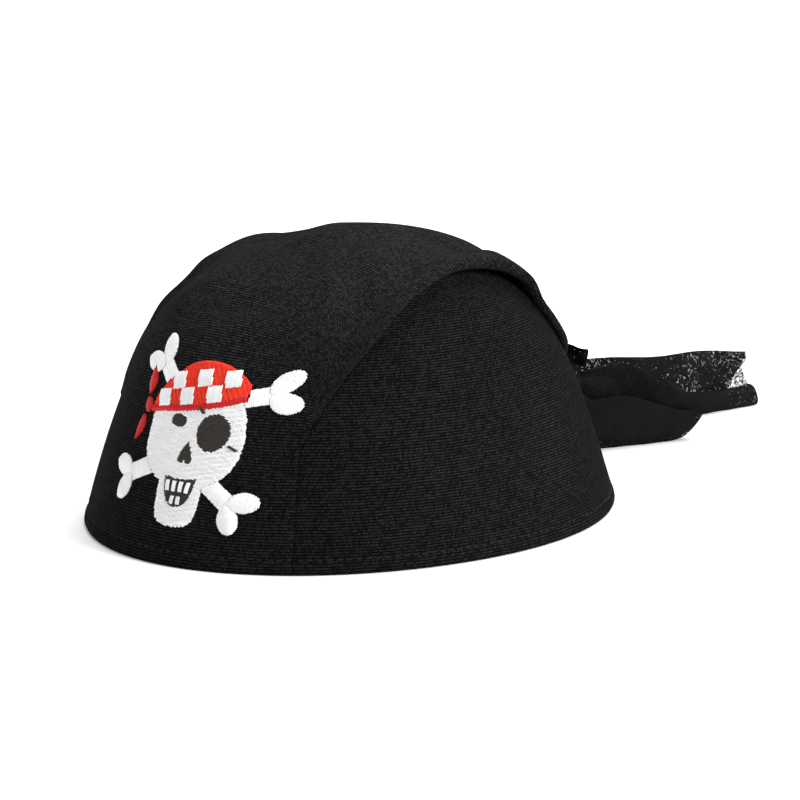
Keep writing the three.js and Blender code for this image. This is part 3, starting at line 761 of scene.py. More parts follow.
def hem_relief(run):
    """The pull of the hem's stitches, and the soft turn of the cloth at the rim."""
    pull = -0.32 * hump(run - STITCH_HEIGHT, 0.7)
    swell = 0.3 * hump(run - 2.4, 1.5)
    return pull + swell + 0.45 - 0.6 * (1 - smooth(run, 0.1, 1.2))


def hem_ripple(angle, run):
    return 0.12 * np.sin(np.radians(angle) * 53) * hump(run - STITCH_HEIGHT, 2.2)


def crown_face(dome, angle, run):
    """The crown cloth's offset from the dome, with creases and hem."""
    above = run - dome.fold_run(np.maximum(np.abs(angle), SEAM_ANGLE))
    away = np.abs(angle)
    raised = smooth(away, SEAM_ANGLE + 2, SEAM_ANGLE + 20) * (1 - smooth(away, 95, 125))
    pad = fold_pad(above) * raised * np.where(angle < 0, 0.5, 1)
    drawn_in = KNOT_PULL * smooth(away, 146, 174) * hump(above, 11)
    shift = np.maximum(crown_creases(dome.surface(angle, run)) + pad, -DEEPEST_DIP) + drawn_in
    return dome.crown_offset(angle, run) + shift + hem_relief(run) + hem_ripple(angle, run)


def folded_crown(dome):
    """Places the crown cloth from its middle down to the fold, over the rolled lip
    and a little way back up underneath it."""
    rows = SURFACE_ROWS + LIP_ROWS + UNDER_ROWS
    lip_at, under_at = SURFACE_ROWS / rows, (SURFACE_ROWS + LIP_ROWS) / rows

    def place(s, t):
        angle = -180 + 360 * s
        away = np.abs(angle)
        fold = dome.fold_run(np.maximum(away, SEAM_ANGLE))
        stands = dome.crown_offset(angle, fold)
        roll = np.where(away > SEAM_ANGLE, np.maximum(stands - LIP_UNDERSIDE, 0) / 2, 0)
        edge = fold + roll + LIP_RAISED * smooth(away, 45, 65)
        down_to = np.clip(t / lip_at, 0, 1)
        run = dome.length - (dome.length - edge) * down_to
        on_face = t <= lip_at + 1e-6
        face = crown_face(dome, angle, run)
        points = dome.point(angle, run, face)
        turn = math.pi * np.clip((t - lip_at) / (under_at - lip_at), 0, 1)
        lip = dome.point(angle, edge, face - roll)
        lip += dome.outward(angle, edge) * (roll * np.cos(turn))[:, None]
        lip += dome.down(angle, edge) * (roll * np.sin(turn))[:, None]
        back = np.clip((t - under_at) / (1 - under_at), 0, 1) * TURNED_UNDER * smooth(roll, 0, 0.5)
        under = dome.point(angle, edge + back, face - 2 * roll)
        points = np.where(on_face[:, None], points, np.where((t <= under_at + 1e-6)[:, None], lip, under))
        return points, dome.crown_pattern(angle, np.where(on_face, run, edge - roll * turn - back))

    return rows, place


def hem_steps(share, top):
    """Rows from the rim, closely spaced over the hem."""
    hem = np.minimum(share / 0.22, 1) * 8
    return 0.15 + hem + np.clip((share - 0.22) / 0.78, 0, 1) * (top - 8.15)


def crown_cloth_mesh(dome):
    bm, layer = new_cloth()
    rows, place = folded_crown(dome)
    add_grid(bm, layer, round(360 / COLUMN_STEP), rows, place)
    corner = dome.fold_run(SEAM_ANGLE)

    def brow(s, t):
        angle = -SEAM_ANGLE + 2 * SEAM_ANGLE * s
        run = hem_steps(t, corner)
        return dome.point(angle, run, crown_face(dome, angle, run)), dome.crown_pattern(angle, run)

    add_grid(bm, layer, round(2 * SEAM_ANGLE / COLUMN_STEP), 72, brow)
    piece = finish_mesh("crown_cloth", bm, [MATERIALS["crown cloth"]], centre=(0, 0, 30), merge=5e-6)
    return thicken(piece, look("sizes").cloth)


def side_cloth_mesh(dome, name, side):
    bm, layer = new_cloth()

    def place(s, t):
        away = SEAM_ANGLE + (180 - SEAM_ANGLE) * s
        angle = side * away
        top = dome.fold_run(away) + TUCK * smooth(away, 48, 60)
        run = hem_steps(t, top)
        points = dome.surface(angle, run)
        seam = -0.5 * hump(180 - away, 0.9)
        brow = smooth(away, SEAM_ANGLE, SEAM_ANGLE + 6)
        soft = softness(points, 0.3, 14) * brow
        shade = -0.5 * hump(run - dome.fold_run(away), 3.5) * smooth(away, 50, 75)
        at_seam = crown_creases(dome.surface(side * SEAM_ANGLE, run)) * (1 - brow)
        face = hem_relief(run) + hem_ripple(angle, run) + seam + soft + shade + at_seam
        return dome.point(angle, run, face), dome.rim_pattern(angle, run)

    add_grid(bm, layer, round((180 - SEAM_ANGLE) / COLUMN_STEP), 92, place)
    piece = finish_mesh(name, bm, [MATERIALS["side cloth"]], centre=(0, 0, 30))
    return thicken(piece, look("sizes").cloth)


def ring_of_cloth(name, dome, section, columns, cloth):
    """A band round the head whose section is a line of (offset, height) points."""
    line = flowing_path([*section, section[0]], 5 * len(section))
    run = distances(line)
    share = run / run[-1]
    bm, layer = new_cloth()

    def place(s, t):
        angle = -180 + 360 * s
        offset, height = np.interp(t, share, line[:, 0]), np.interp(t, share, line[:, 1])
        points = dome.point(angle, dome.run_at(np.maximum(height, 0)), offset)
        arc = np.interp(angle, dome.rim_angles, dome.rim_arc)
        return points, np.stack([arc, t * run[-1]], -1)

    add_grid(bm, layer, columns, 4 * len(section), place)
    return finish_mesh(name, bm, [MATERIALS[cloth]])


# Each as (offset from the dome, height over the rim).
HEM_SECTION = [
    (-0.8, 2.2), (-0.8, 1.2), (-0.95, 0.5), (-1.5, 0.1), (-2.4, 0.0), (-3.8, 0.0), (-4.9, 0.12),
    (-5.35, 0.7), (-5.5, 1.6), (-5.5, 3.6), (-5.45, 5.9), (-5.2, 6.0), (-4.95, 5.8), (-4.85, 3.4),
    (-4.8, 1.6), (-4.4, 0.9), (-3.6, 0.75), (-2.4, 0.75), (-1.7, 0.9), (-1.45, 1.5), (-1.35, 2.1),
]
BAND_SECTION = [
    (-4.95, 6.6), (-4.85, 8.0), (-4.8, 14), (-4.8, 22), (-4.85, 29.6), (-5.1, 30.6), (-5.4, 30.2),
    (-5.5, 28.5), (-5.5, 20), (-5.5, 12), (-5.45, 7.5), (-5.2, 6.4),
]


def rim_threads(dome, height, offset, stitch, gap, seed):
    """A ring of running stitches, and the way they lie on the dome."""
    scatter = random.Random(seed)
    count = int(dome.rim_run / (stitch + gap))
    step = dome.rim_run / count
    threads = []
    for number in range(count):
        start = -dome.rim_run / 2 + number * step + scatter.uniform(-0.1, 0.1)
        level = height + scatter.uniform(-0.1, 0.1)
        threads.append(
            {
                "ends": ((start, level), (start + stitch, level + scatter.uniform(-0.08, 0.08))),
                "lift": offset,
                "width": 0.5,
                "height": 0.42,
                "arch": 0.12,
                "tone": scatter.uniform(0.7, 1),
            }
        )

    def lay(u, v, lift):
        angle = np.interp(u, dome.rim_arc, dome.rim_angles)
        return dome.point(angle, v, lift)

    return threads, lay


def ride_hat(piece, slot_name, *nodes):
    if nodes:
        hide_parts(*nodes)
    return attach(piece, "hat")


class HatOperator:
    bl_options = {"REGISTER", "UNDO"}

    def execute(self, context):
        self.make(context.scene)
        return {"FINISHED"}


class PIRATEHAT_OT_crown_cloth(HatOperator, bpy.types.Operator):
    """Make the crown cloth, with its rolled folds, creases and gathers"""

    bl_idname = "pirate_hat.crown_cloth"
    bl_label = "Crown cloth"

    def make(self, scene):
        dome = Dome()
        piece = ride_hat(crown_cloth_mesh(dome), "black_cloth", "crown_panel")


class PIRATEHAT_OT_side_cloths(HatOperator, bpy.types.Operator):
    """Make the two side panels of black cloth"""

    bl_idname = "pirate_hat.side_cloths"
    bl_label = "Side cloths"

    def make(self, scene):
        dome = Dome()
        for name, side in (("left", 1), ("right", -1)):
            piece = side_cloth_mesh(dome, f"side_cloth_{name}", side)
            ride_hat(piece, "black_cloth", f"side_panel_{name}")


class PIRATEHAT_OT_rim(HatOperator, bpy.types.Operator):
    """Make the turned hem, its stitching, and the sweatband inside it"""

    bl_idname = "pirate_hat.rim"
    bl_label = "Hem, stitching and sweatband"

    def make(self, scene):
        dome = Dome()
        columns = round(360 / COLUMN_STEP)
        hem = ring_of_cloth("hem_cloth", dome, HEM_SECTION, columns, "side cloth")
        ride_hat(hem, "black_cloth", "turned_hem")
        band = ring_of_cloth("sweatband_tape", dome, BAND_SECTION, columns, "tape")
        ride_hat(band, "black_tape", "sweatband")
        rows = [
            ("hem_stitching", STITCH_HEIGHT, 0.02, 2.4, 0.8, 3),
            ("band_stitching_low", 8.2, -5.65, 2.2, 0.9, 5),
            ("band_stitching_high", 29.0, -5.65, 2.2, 0.9, 7),
        ]
        for name, height, offset, stitch, gap, seed in rows:
            threads, lay = rim_threads(dome, float(dome.run_at(height)), offset, stitch, gap, seed)
            piece = sew(name, threads, lay, lambda thread: 0, [MATERIALS["seam"]])
            ride_hat(piece, "black_cloth")


class PIRATEHAT_OT_inner_layers(HatOperator, bpy.types.Operator):
    """Make the lining, and give the felt and backing sheet their materials"""

    bl_idname = "pirate_hat.inner_layers"
    bl_label = "Lining and felt"

    def make(self, scene):
        dome = Dome()
        bm, layer = new_cloth()

        def place(s, t):
            angle = -180 + 360 * s
            run = mix(float(dome.run_at(1.0)), dome.length, t)
            points = dome.surface(angle, run)
            inset = -LINING_INSET + softness(points, 0.02, 12)
            return dome.point(angle, run, inset), dome.crown_pattern(angle, run)

        add_grid(bm, layer, 144, 72, place)
        piece = finish_mesh("lining_cloth", bm, [MATERIALS["lining"]], centre=(0, 0, 30), merge=5e-6)
        thicken(piece, LINING_THICKNESS)
        ride_hat(piece, "lining_cloth", "lining")
        felts = ("crown_stiffener", "side_stiffener_left", "side_stiffener_right")
        for node, name in [*((felt, "felt") for felt in felts), ("motif_backing", "backing")]:
            for slot in frame["nodes"][node].material_slots:
                slot.material = MATERIALS[name]


# ---- The knot and tails ----
HEADING = {"left": 25, "right": 11}  # degrees from straight back towards +X
KNOT_LOW, KNOT_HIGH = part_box("knot")
KNOT_MIDDLE = np.array((KNOT_LOW + KNOT_HIGH) / 2) / MM
KNOT_HALF = np.array((KNOT_HIGH - KNOT_LOW) / 2) / MM


def neck_centre(side):
    return np.array(JOINTS[f"tail_{side}_sway"]["pos_m"]) / MM


def level_ways(heading):
    """The level way at a heading, and the one square to it."""
    turn = math.radians(heading)
    return np.array([math.sin(turn), math.cos(turn), 0]), np.array([math.cos(turn), -math.sin(turn), 0])


def knot_mesh():
    """A gathered ball of voile with a pleated band drawn tight over its middle."""
    bm, layer = new_cloth()

    def ball(s, t):
        spin, rise = 2 * math.pi * s, math.pi * t
        size = 0.93 * KNOT_HALF * [1, 1.45, 1]
        pleat = 0.07 * np.cos(9 * spin + 2 * np.cos(rise)) + 0.035 * np.cos(17 * spin + 1)
        waist = 1 + 0.12 * np.cos(2 * rise) + pleat * np.abs(np.cos(rise)) ** 0.5
        x = size[0] * 1.02 * np.cos(rise)
        ring = np.sin(rise) ** 0.8 * waist * 0.9
        points = np.stack([x, size[1] * ring * np.cos(spin) - 2.8, size[2] * ring * np.sin(spin)], -1)
        return points + KNOT_MIDDLE, np.stack([spin * 9, rise * 8], -1)

    def band(s, t):
        spin, across = 2 * math.pi * s, -1 + 2 * t
        fold = 0.5 * np.cos(math.pi * 4.5 * across + 0.7 * np.sin(spin))
        fold += 0.2 * np.cos(3 * spin + 4 * across)
        round_edge = np.sqrt(np.maximum(1 - np.abs(across) ** 3.5, 0))
        reach = np.array([KNOT_HALF[1] * 0.8, KNOT_HALF[2] * 0.78])
        grow = 1 + (0.25 * round_edge) + fold * 0.06 * round_edge
        x = (5.4 + 0.8 * np.cos(spin)) * across + 0.8 * np.sin(spin)
        points = np.stack([x, reach[0] * grow * np.cos(spin), reach[1] * grow * np.sin(spin)], -1)
        return points + KNOT_MIDDLE, np.stack([spin * 9, across * 9], -1)

    add_grid(bm, layer, 108, 54, ball)
    add_grid(bm, layer, 96, 44, band)
    return finish_mesh("knot_cloth", bm, [MATERIALS["gathered voile"]])


FLAP_HEADING, FLAP_REACH = 78, 20.5


def flap_mesh():
    """The bandana's free corner, folded double over the knot and drooping beside it."""
    bm, layer = new_cloth()
    along, square = level_ways(FLAP_HEADING)
    root = KNOT_MIDDLE + np.array([0, 0, KNOT_HALF[2] + 0.4])

    def place(s, t):
        wrap = 2 * math.pi * t
        rise = 0.5 - 0.5 * np.cos(wrap / 2)
        reach = mix(-4.0, FLAP_REACH, s) - 0.6 * smooth(s, 0.9, 1) * rise
        low = -0.6 - 3.0 * smooth(reach, 5, 15)
        high = mix(2.4, 3.9, smooth(reach, -3, 8)) - 1.4 * smooth(reach, 9, 20)
        ripple = 0.5 * np.sin(reach * 0.7 + rise * 2)
        thick = (0.8 + 0.2 * np.sin(reach)) * np.sin(wrap) + ripple
        points = root + along * reach[:, None] + square * thick[:, None]
        points[:, 2] += mix(low, high, rise)
        return points, np.stack([reach, wrap * 3], -1)

    add_grid(bm, layer, 44, 28, place)
    piece = finish_mesh("knot_flap_cloth", bm, [MATERIALS["gathered voile"]])
    return thicken(piece, look("sizes").sheer, 0)


def gather_mesh(side):
    """Pleated cloth leaving the knot, drawn in to the tail's neck."""
    ahead, square = level_ways(HEADING[side])
    centre = neck_centre(side)
    start = np.array([0.72 * centre[0], KNOT_MIDDLE[1] + 2.2, centre[2] + 0.4])
    bm, layer = new_cloth()

    def place(s, t):
        spin = 2 * math.pi * s
        middle = start + (centre + ahead * 2.2 - start) * t[:, None]
        pleat = 1 + 0.14 * np.cos(9 * spin + 1.2 * t) + 0.07 * np.cos(16 * spin)
        radius = mix(4.6, 3.7, smooth(t, 0, 0.75)) * pleat + 0.3 * smooth(t, 0.8, 1)
        points = middle + square * (radius * np.cos(spin))[:, None]
        points[:, 2] += radius * np.sin(spin)
        return points, np.stack([spin * 6, t * 12], -1)

    add_grid(bm, layer, 96, 18, place)
    piece = finish_mesh(f"tail_{side}_gather", bm, [MATERIALS["gathered voile"]], centre=centre)
    thicken(piece, look("sizes").sheer)
    near = centre - ahead * 4.4
    return piece, near, centre + ahead * 0.6


# Each tail's folded section: (across, share of the height) along the sheet's width.
FOLDS = {
    "right": [
        (2.9, 0.4), (3.1, 0.2), (2.7, 0.03), (1.7, 0.0), (1.2, 0.12), (1.0, 0.5), (0.9, 0.86),
        (0.5, 0.985), (-0.2, 1.0), (-0.8, 0.93), (-1.2, 0.5), (-1.5, 0.12), (-1.9, 0.01),
    ],
    "left": [
        (3.2, 0.62), (3.4, 0.3), (3.0, 0.05), (2.0, 0.0), (1.4, 0.1), (1.2, 0.5), (1.3, 0.88), (0.6, 1.0),
        (-0.3, 0.97), (-0.6, 0.5), (-0.8, 0.1), (-1.6, 0.0), (-2.4, 0.06), (-2.6, 0.45), (-2.5, 0.9),
    ],
}
TOP_LINE = {
    "right": [(0, 27.4), (8, 28.2), (25, 28.0), (50, 26.0), (78, 23.6), (104, 21.4), (112, 21)],
    "left": [(0, 27.4), (6, 28.6), (15, 30.3), (22, 29.8), (34, 24.5), (46, 17.9), (55, 15.4)],
}
BOTTOM_LINE = {
    "right": [(0, 20.4), (4, 17.5), (12, 7.5), (20, 2.2), (26, 0.5), (50, 0.15), (112, 0.15)],
    "left": [(0, 19), (3, 10), (6, 3), (10, 0.6), (20, 0.3), (41, 0.3), (48, 2.0), (55, 6.8)],
}
REACH = {"right": 110.5, "left": 54}
FOLD_STEPS = 160
TAIL_HEIGHT = 26  # about how high a tail stands, to measure its folds by


def tail_end(side, across, share, height):
    """How far back each fold of the tail runs."""
    if side == "left":
        return REACH[side] - 7 * np.abs(2 * share - 1) ** 3 - 1.2 * (1 - across)
    front = np.where(across < 0.3, REACH[side] - 2 - 3.5 * across, 0)
    cut_back = 104 - np.interp(height, [7.6, 17.8], [10, 0])
    middle = np.where((across >= 0.3) & (across < 0.62), cut_back, 0)
    behind = np.where(across >= 0.62, REACH[side] - np.interp(height, [3.4, 15], [0, 6]), 0)
    return front + middle + behind


def tail_mesh(side):
    ahead, square = level_ways(HEADING[side])
    neck = neck_centre(side)
    folds = flowing_path(FOLDS[side], FOLD_STEPS)
    share_of = np.linspace(0, 1, FOLD_STEPS)
    width = distances(folds * [1, TAIL_HEIGHT])
    top, bottom = flowing_path(TOP_LINE[side], 80).T, flowing_path(BOTTOM_LINE[side], 80).T
    bm, layer = new_cloth()

    def height_at(run, share):
        return mix(np.interp(run, *bottom), np.interp(run, *top), share)

    def place(s, t):
        sideways = np.interp(t, share_of, folds[:, 0])
        share = np.interp(t, share_of, folds[:, 1])
        run = REACH[side] * s**1.15
        if side == "right":
            share = share * np.where(t < 0.3, 1 - 0.62 * smooth(run, 88, 110), 1)
        run = mix(run, tail_end(side, t, share, height_at(run, share)), smooth(s, 0.45, 1.0))
        height = height_at(run, share)
        opened = smooth(run, 0, 24)
        pleats = (1 - opened) * 0.7 * np.sin(t * 60 + run * 0.25)
        wave = 0.9 * np.sin(run / 13 + 3.1 * share + 2.5 * t) + 0.5 * np.sin(run / 5.5 - 4 * share + 9 * t)
        crumple = 0.35 * np.sin(run / 2.9 + 11 * t + 5 * share) * np.sin(run / 4.3 + 17 * t)
        out = sideways * mix(0.95, 1.0, opened) + pleats + opened * (wave * 0.75 + crumple)
        lift = opened * 0.5 * np.sin(run / 8 + 6 * t) * smooth(height, 3, 9)
        points = neck * [1, 1, 0] + ahead * run[:, None] + square * out[:, None]
        points[:, 2] += np.maximum(height + lift + (1 - opened) * pleats * 0.4, 0.12)
        return points, np.stack([np.interp(t, share_of, width), run], -1)

    add_grid(bm, layer, 90 if side == "right" else 64, 120, place)
    piece = finish_mesh(f"tail_{side}_cloth", bm, [MATERIALS["voile"]])
    thicken(piece, look("sizes").sheer, 0)
    return piece, neck - ahead * 0.5, neck + ahead * 9


class PIRATEHAT_OT_knot(HatOperator, bpy.types.Operator):
    """Make the knot at the back and the loose corner above it"""

    bl_idname = "pirate_hat.knot"
    bl_label = "Knot"

    def make(self, scene):
        knot = ride_hat(knot_mesh(), "sheer_cloth", "knot")
        flap = ride_hat(flap_mesh(), "sheer_cloth", "knot_flap")


class PIRATEHAT_OT_tails(HatOperator, bpy.types.Operator):
    """Make the two loose tails and the gathers that hold them to the knot"""

    bl_idname = "pirate_hat.tails"
    bl_label = "Tails"

    def make(self, scene):
        for side in ("left", "right"):
            gather, start, stop = gather_mesh(side)
            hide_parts(f"tail_{side}_neck")
            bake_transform(gather)
            tail, start, stop = tail_mesh(side)
            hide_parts(f"tail_{side}")
            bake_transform(tail)


# ---- Embroidery, drawn flat: x across the brow, y up along it from the rim ----
MOTIF_CENTRE = 6
SKULL = {"centre": 0.8, "width": 38.5, "top": 62, "cheek": 31, "jaw": 17.5, "jaw_top": 26, "chin": 12.5}
SCARF = {"left": -18.95, "left_y": 46.5, "right": 17.05, "right_y": 54, "top": 67}
SCARF_KNOT = (SCARF["left"] - 2.6, SCARF["left_y"] + 1.5)
SCARF_KNOT_HALF = (1.9, 2.4)
SCARF_END = ((-0.5, 3), (-1.5, 12), 8)  # the upper end's root and tip from the knot, and width
BONE_SHAFT, BONE_KNUCKLE = 6, 3.9
BONES = {
    "bone_upper_left": ((-8, 54), (-21, 64)),
    "bone_upper_right": ((10, 53), (27, 57)),
    "bone_lower_left": ((-12, 31), (-26, 24.5)),
    "bone_lower_right": ((7, 30), (22, 19.5)),
}
# Each feature's middle, half width and half height.
EYE, PATCH = (-5.2, 45.5, 3.3, 2), (8.8, 43, 5.9, 5.9)
NOSE, MOUTH = (0.6, 35.8, 2.8, 3.5), (0.6, 23.4, 6.2, 4.6)
CHECKS = [(-13.5, 51.5), (-4, 53.2), (6, 55), (-9, 57.8), (1, 59.8), (10.8, 60.5)]
CHECK_SIZE, CHECK_TILT = (5.1, 5.3), 12
SATIN_PITCH = 0.5


def curves(start, *rest):
    """Points along Bezier curves joined end to end. Each is given by its corners
    after the point where the one before stopped."""
    found = []
    for corners in rest:
        corners = np.array([start, *corners], float)
        steps = 2 if len(corners) == 2 else 10
        for t in np.arange(steps) / steps:
            level = corners
            while len(level) > 1:
                level = level[:-1] * (1 - t) + level[1:] * t
            found.append(level[0])
        start = corners[-1]
    return [*found, start]


def direction(start, finish):
    """The way from one point to another, and the way square to it on its left."""
    way = np.subtract(finish, start)
    way = way / np.linalg.norm(way)
    return way, np.array([-way[1], way[0]])


def both_halves(right, centre):
    right = np.array(right)
    left = right[1:-1] * [-1, 1] + [2 * centre, 0]
    return np.concatenate([right, left[::-1]])


def skull_outline(grow=0.0):
    c, crown, cheek, jaw_top = SKULL["centre"], SKULL["top"], SKULL["cheek"], SKULL["jaw_top"]
    chin, jaw, temple = SKULL["chin"] - grow, SKULL["jaw"] / 2 + grow, SKULL["width"] / 2 + grow
    half = curves(
        (c, chin),
        [(c + 0.8 * jaw, chin), (c + 0.9 * jaw, chin + 2), (c + 0.95 * jaw, chin + 6)],
        [(c + jaw, jaw_top)],
        [(c + 0.75 * temple, jaw_top + 2), (c + 0.95 * temple, cheek + 1), (c + 0.97 * temple, cheek + 6)],
        [(c + 1.04 * temple, crown - 12), (c + 0.7 * temple, crown + grow), (c, crown + grow)],
    )
    return both_halves(half, c)


def scarf_outline(grow=0.0):
    left, left_y, right, right_y, top = SCARF.values()
    points = curves(
        (left - grow, left_y - grow),
        [(left / 2, left_y + 2 - grow), (right / 3, right_y - 5 - grow), (right + grow, right_y - grow)],
        [(right + grow, right_y + 5 + grow)],
        [(right / 2, top + 1 + grow), (left / 4, top + grow), (left / 2, top - 6 + grow)],
        [(left - grow, left_y + 7), (left - grow, left_y - grow)],
    )
    return np.array(points[:-1])


def oval(x, y, half_width, half_height, grow=0.0, tilt=0.0):
    turn = np.linspace(0, 2 * math.pi, 33)[:-1]
    points = np.stack([(half_width + grow) * np.cos(turn), (half_height + grow) * np.sin(turn)], -1)
    return turned(points, math.radians(tilt)) + [x, y]


def turned(points, angle):
    c, s = math.cos(angle), math.sin(angle)
    return np.asarray(points, float) @ np.array([[c, s], [-s, c]])


def nose_outline(grow=0.0):
    x, y, wide, tall = NOSE[0], NOSE[1], NOSE[2] + grow, NOSE[3] + grow
    right = [(x + wide * 0.6, y - tall * 1.2), (x + wide, y - tall * 0.7)]
    return both_halves(curves((x, y - tall * 0.7), right, [(x + wide, y), (x, y + tall)]), x)


def mouth_outline(grow=0.0):
    x, y, wide, tall = MOUTH[0], MOUTH[1], MOUTH[2] + grow, MOUTH[3] + grow
    right = [(x + wide * 0.9, y - tall), (x + wide, y + tall)]
    upper_lip = [(x + wide / 2, y + tall * 0.9), (x, y + tall * 0.85)]
    return both_halves(curves((x, y - tall), right, upper_lip), x)


def leaf_outline(start, finish, width, grow=0.0):
    way, side = direction(start, finish)
    side = side * (width / 2 + 2 * grow)
    root, point = start - way * grow + SCARF_KNOT, finish + way * grow + SCARF_KNOT
    middle = root + np.subtract(finish, start) * 0.45
    return np.array(curves(root, [middle + side, point], [middle - side, root])[:-1])


def bar_outline(start, finish, width):
    side = direction(start, finish)[1] * width / 2
    return np.array([start + side, start - side, finish - side, finish + side])


def crossings(outline, y):
    ends = []
    for (x0, y0), (x1, y1) in zip(outline, np.roll(outline, -1, axis=0)):
        if (y0 <= y) != (y1 <= y):
            ends.append(x0 + (x1 - x0) * (y - y0) / (y1 - y0))
    ends.sort()
    return list(zip(ends[::2], ends[1::2]))


def without(spans, holes):
    for low, high in holes:
        left = [(a, min(b, low)) for a, b in spans if a < low]
        right = [(max(a, high), b) for a, b in spans if b > high]
        spans = left + right
    return spans


class Embroiderer:
    """Fills drawn shapes with rows of thread and lays them on the brow."""

    def __init__(self, dome, seed):
        thread = look("thread")
        self.dome = dome
        self.pitch, self.width = thread.pitch / MM, thread.width / MM
        self.scatter = random.Random(seed)

    def lay(self, u, v, lift):
        dome = self.dome
        sideways = (u + MOTIF_CENTRE) / (dome.half_width * dome.share(v))
        angle = np.degrees(np.arcsin(np.clip(sideways, -1, 1)))
        points = dome.surface(angle, v)
        face = dome.crown_offset(angle, v) + crown_creases(points)
        return dome.point(angle, v, face + lift)

    def thread(self, start, end, lift, tone, width=None, arch=0.16):
        return {
            "ends": (tuple(start), tuple(end)),
            "lift": lift + self.scatter.uniform(-0.03, 0.03),
            "width": (width or self.width) * self.scatter.uniform(0.92, 1.08),
            "height": 0.5,
            "arch": arch,
            "tone": tone * self.scatter.uniform(0.9, 1.08),
        }

    def fill(self, outline, holes, tilt, lift, stitch, jag, pitch=None, tone=0.95, arch=0.16):
        """Rows of stitches across a shape. With a stitch length the rows are broken
        up like bricks; without one, each row is a single satin stitch."""
        turn, pitch = math.radians(tilt), pitch or self.pitch
        outline = turned(outline, -turn)
        holes = [turned(hole, -turn) for hole in holes]
        threads = []
        rows = np.arange(outline[:, 1].min() + pitch / 2, outline[:, 1].max(), pitch)
        for number, y in enumerate(rows):
            cut_out = [span for hole in holes for span in crossings(hole, y)]
            for low, high in without(crossings(outline, y), cut_out):
                if high - low < 0.35:
                    continue
                low -= self.scatter.uniform(-0.3, 1) * jag
                high += self.scatter.uniform(-0.3, 1) * jag
                for start, end in self.pieces(low, high, stitch, number):
                    lean = self.scatter.uniform(-0.06, 0.06)
                    ends = turned([(start, y + lean), (end, y - lean)], turn)
                    threads.append(self.thread(*ends, lift, tone, self.width * pitch / self.pitch, arch))
        return threads

    def underlay(self, outline, holes, tilt, stitch, tone):
        """Wide, flat rows that hide the cloth beneath the stitches that show."""
        return self.fill(outline, holes, tilt, 0.2, stitch, 0, 0.9, tone, 0.05)

    def satin(self, outline, tilt, lift, jag, arch, tone=1.0, holes=()):
        return self.fill(outline, holes, tilt, lift, None, jag, SATIN_PITCH, tone, arch)

    def pieces(self, low, high, stitch, number):
        if stitch is None:
            parts = max(1, math.ceil((high - low) / 9))
            shares = [(i + self.scatter.uniform(-0.15, 0.15)) / parts for i in range(1, parts)]
            cuts = [low + (high - low) * share for share in shares]
        else:
            first = math.floor(low / stitch) * stitch + (number % 3) * stitch / 3
            cuts = [cut for cut in np.arange(first, high, stitch) if low + 0.6 < cut < high - 0.6]
        ends = [low, *cuts, high]
        return [(a - 0.1, b + 0.1) for a, b in zip(ends[:-1], ends[1:])]

    def sew(self, node, threads, colours, slot_name):
        materials = [MATERIALS[colour] for colour in colours]

        def colour_of(thread):
            return thread.get("colour", 0)

        piece = sew(f"{node}_stitches", threads, self.lay, colour_of, materials)
        return ride_hat(piece, slot_name, node)


def bone_parts(start, finish):
    """A bone's shaft and its two knuckles, each with the way its threads run."""
    start, finish = np.array(start, float), np.array(finish, float)
    way = finish - start
    run, turn = np.linalg.norm(way), math.atan2(way[1], way[0])
    half = BONE_SHAFT / 2
    upper_edge = np.array([(run, half), (run * 0.6, half * 0.92), (0, half)])
    shaft = [*(upper_edge[::-1] * [1, -1]), *upper_edge]
    parts = [(shaft, 90)]
    for side in (-1, 1):
        lobe = oval(run + 0.5, side * (BONE_KNUCKLE - 0.4), 4.7, 3.2, tilt=side * 32)
        parts.append((lobe, 90 + side * 32))
    return [(turned(part, turn) + start, way_of + math.degrees(turn)) for part, way_of in parts]


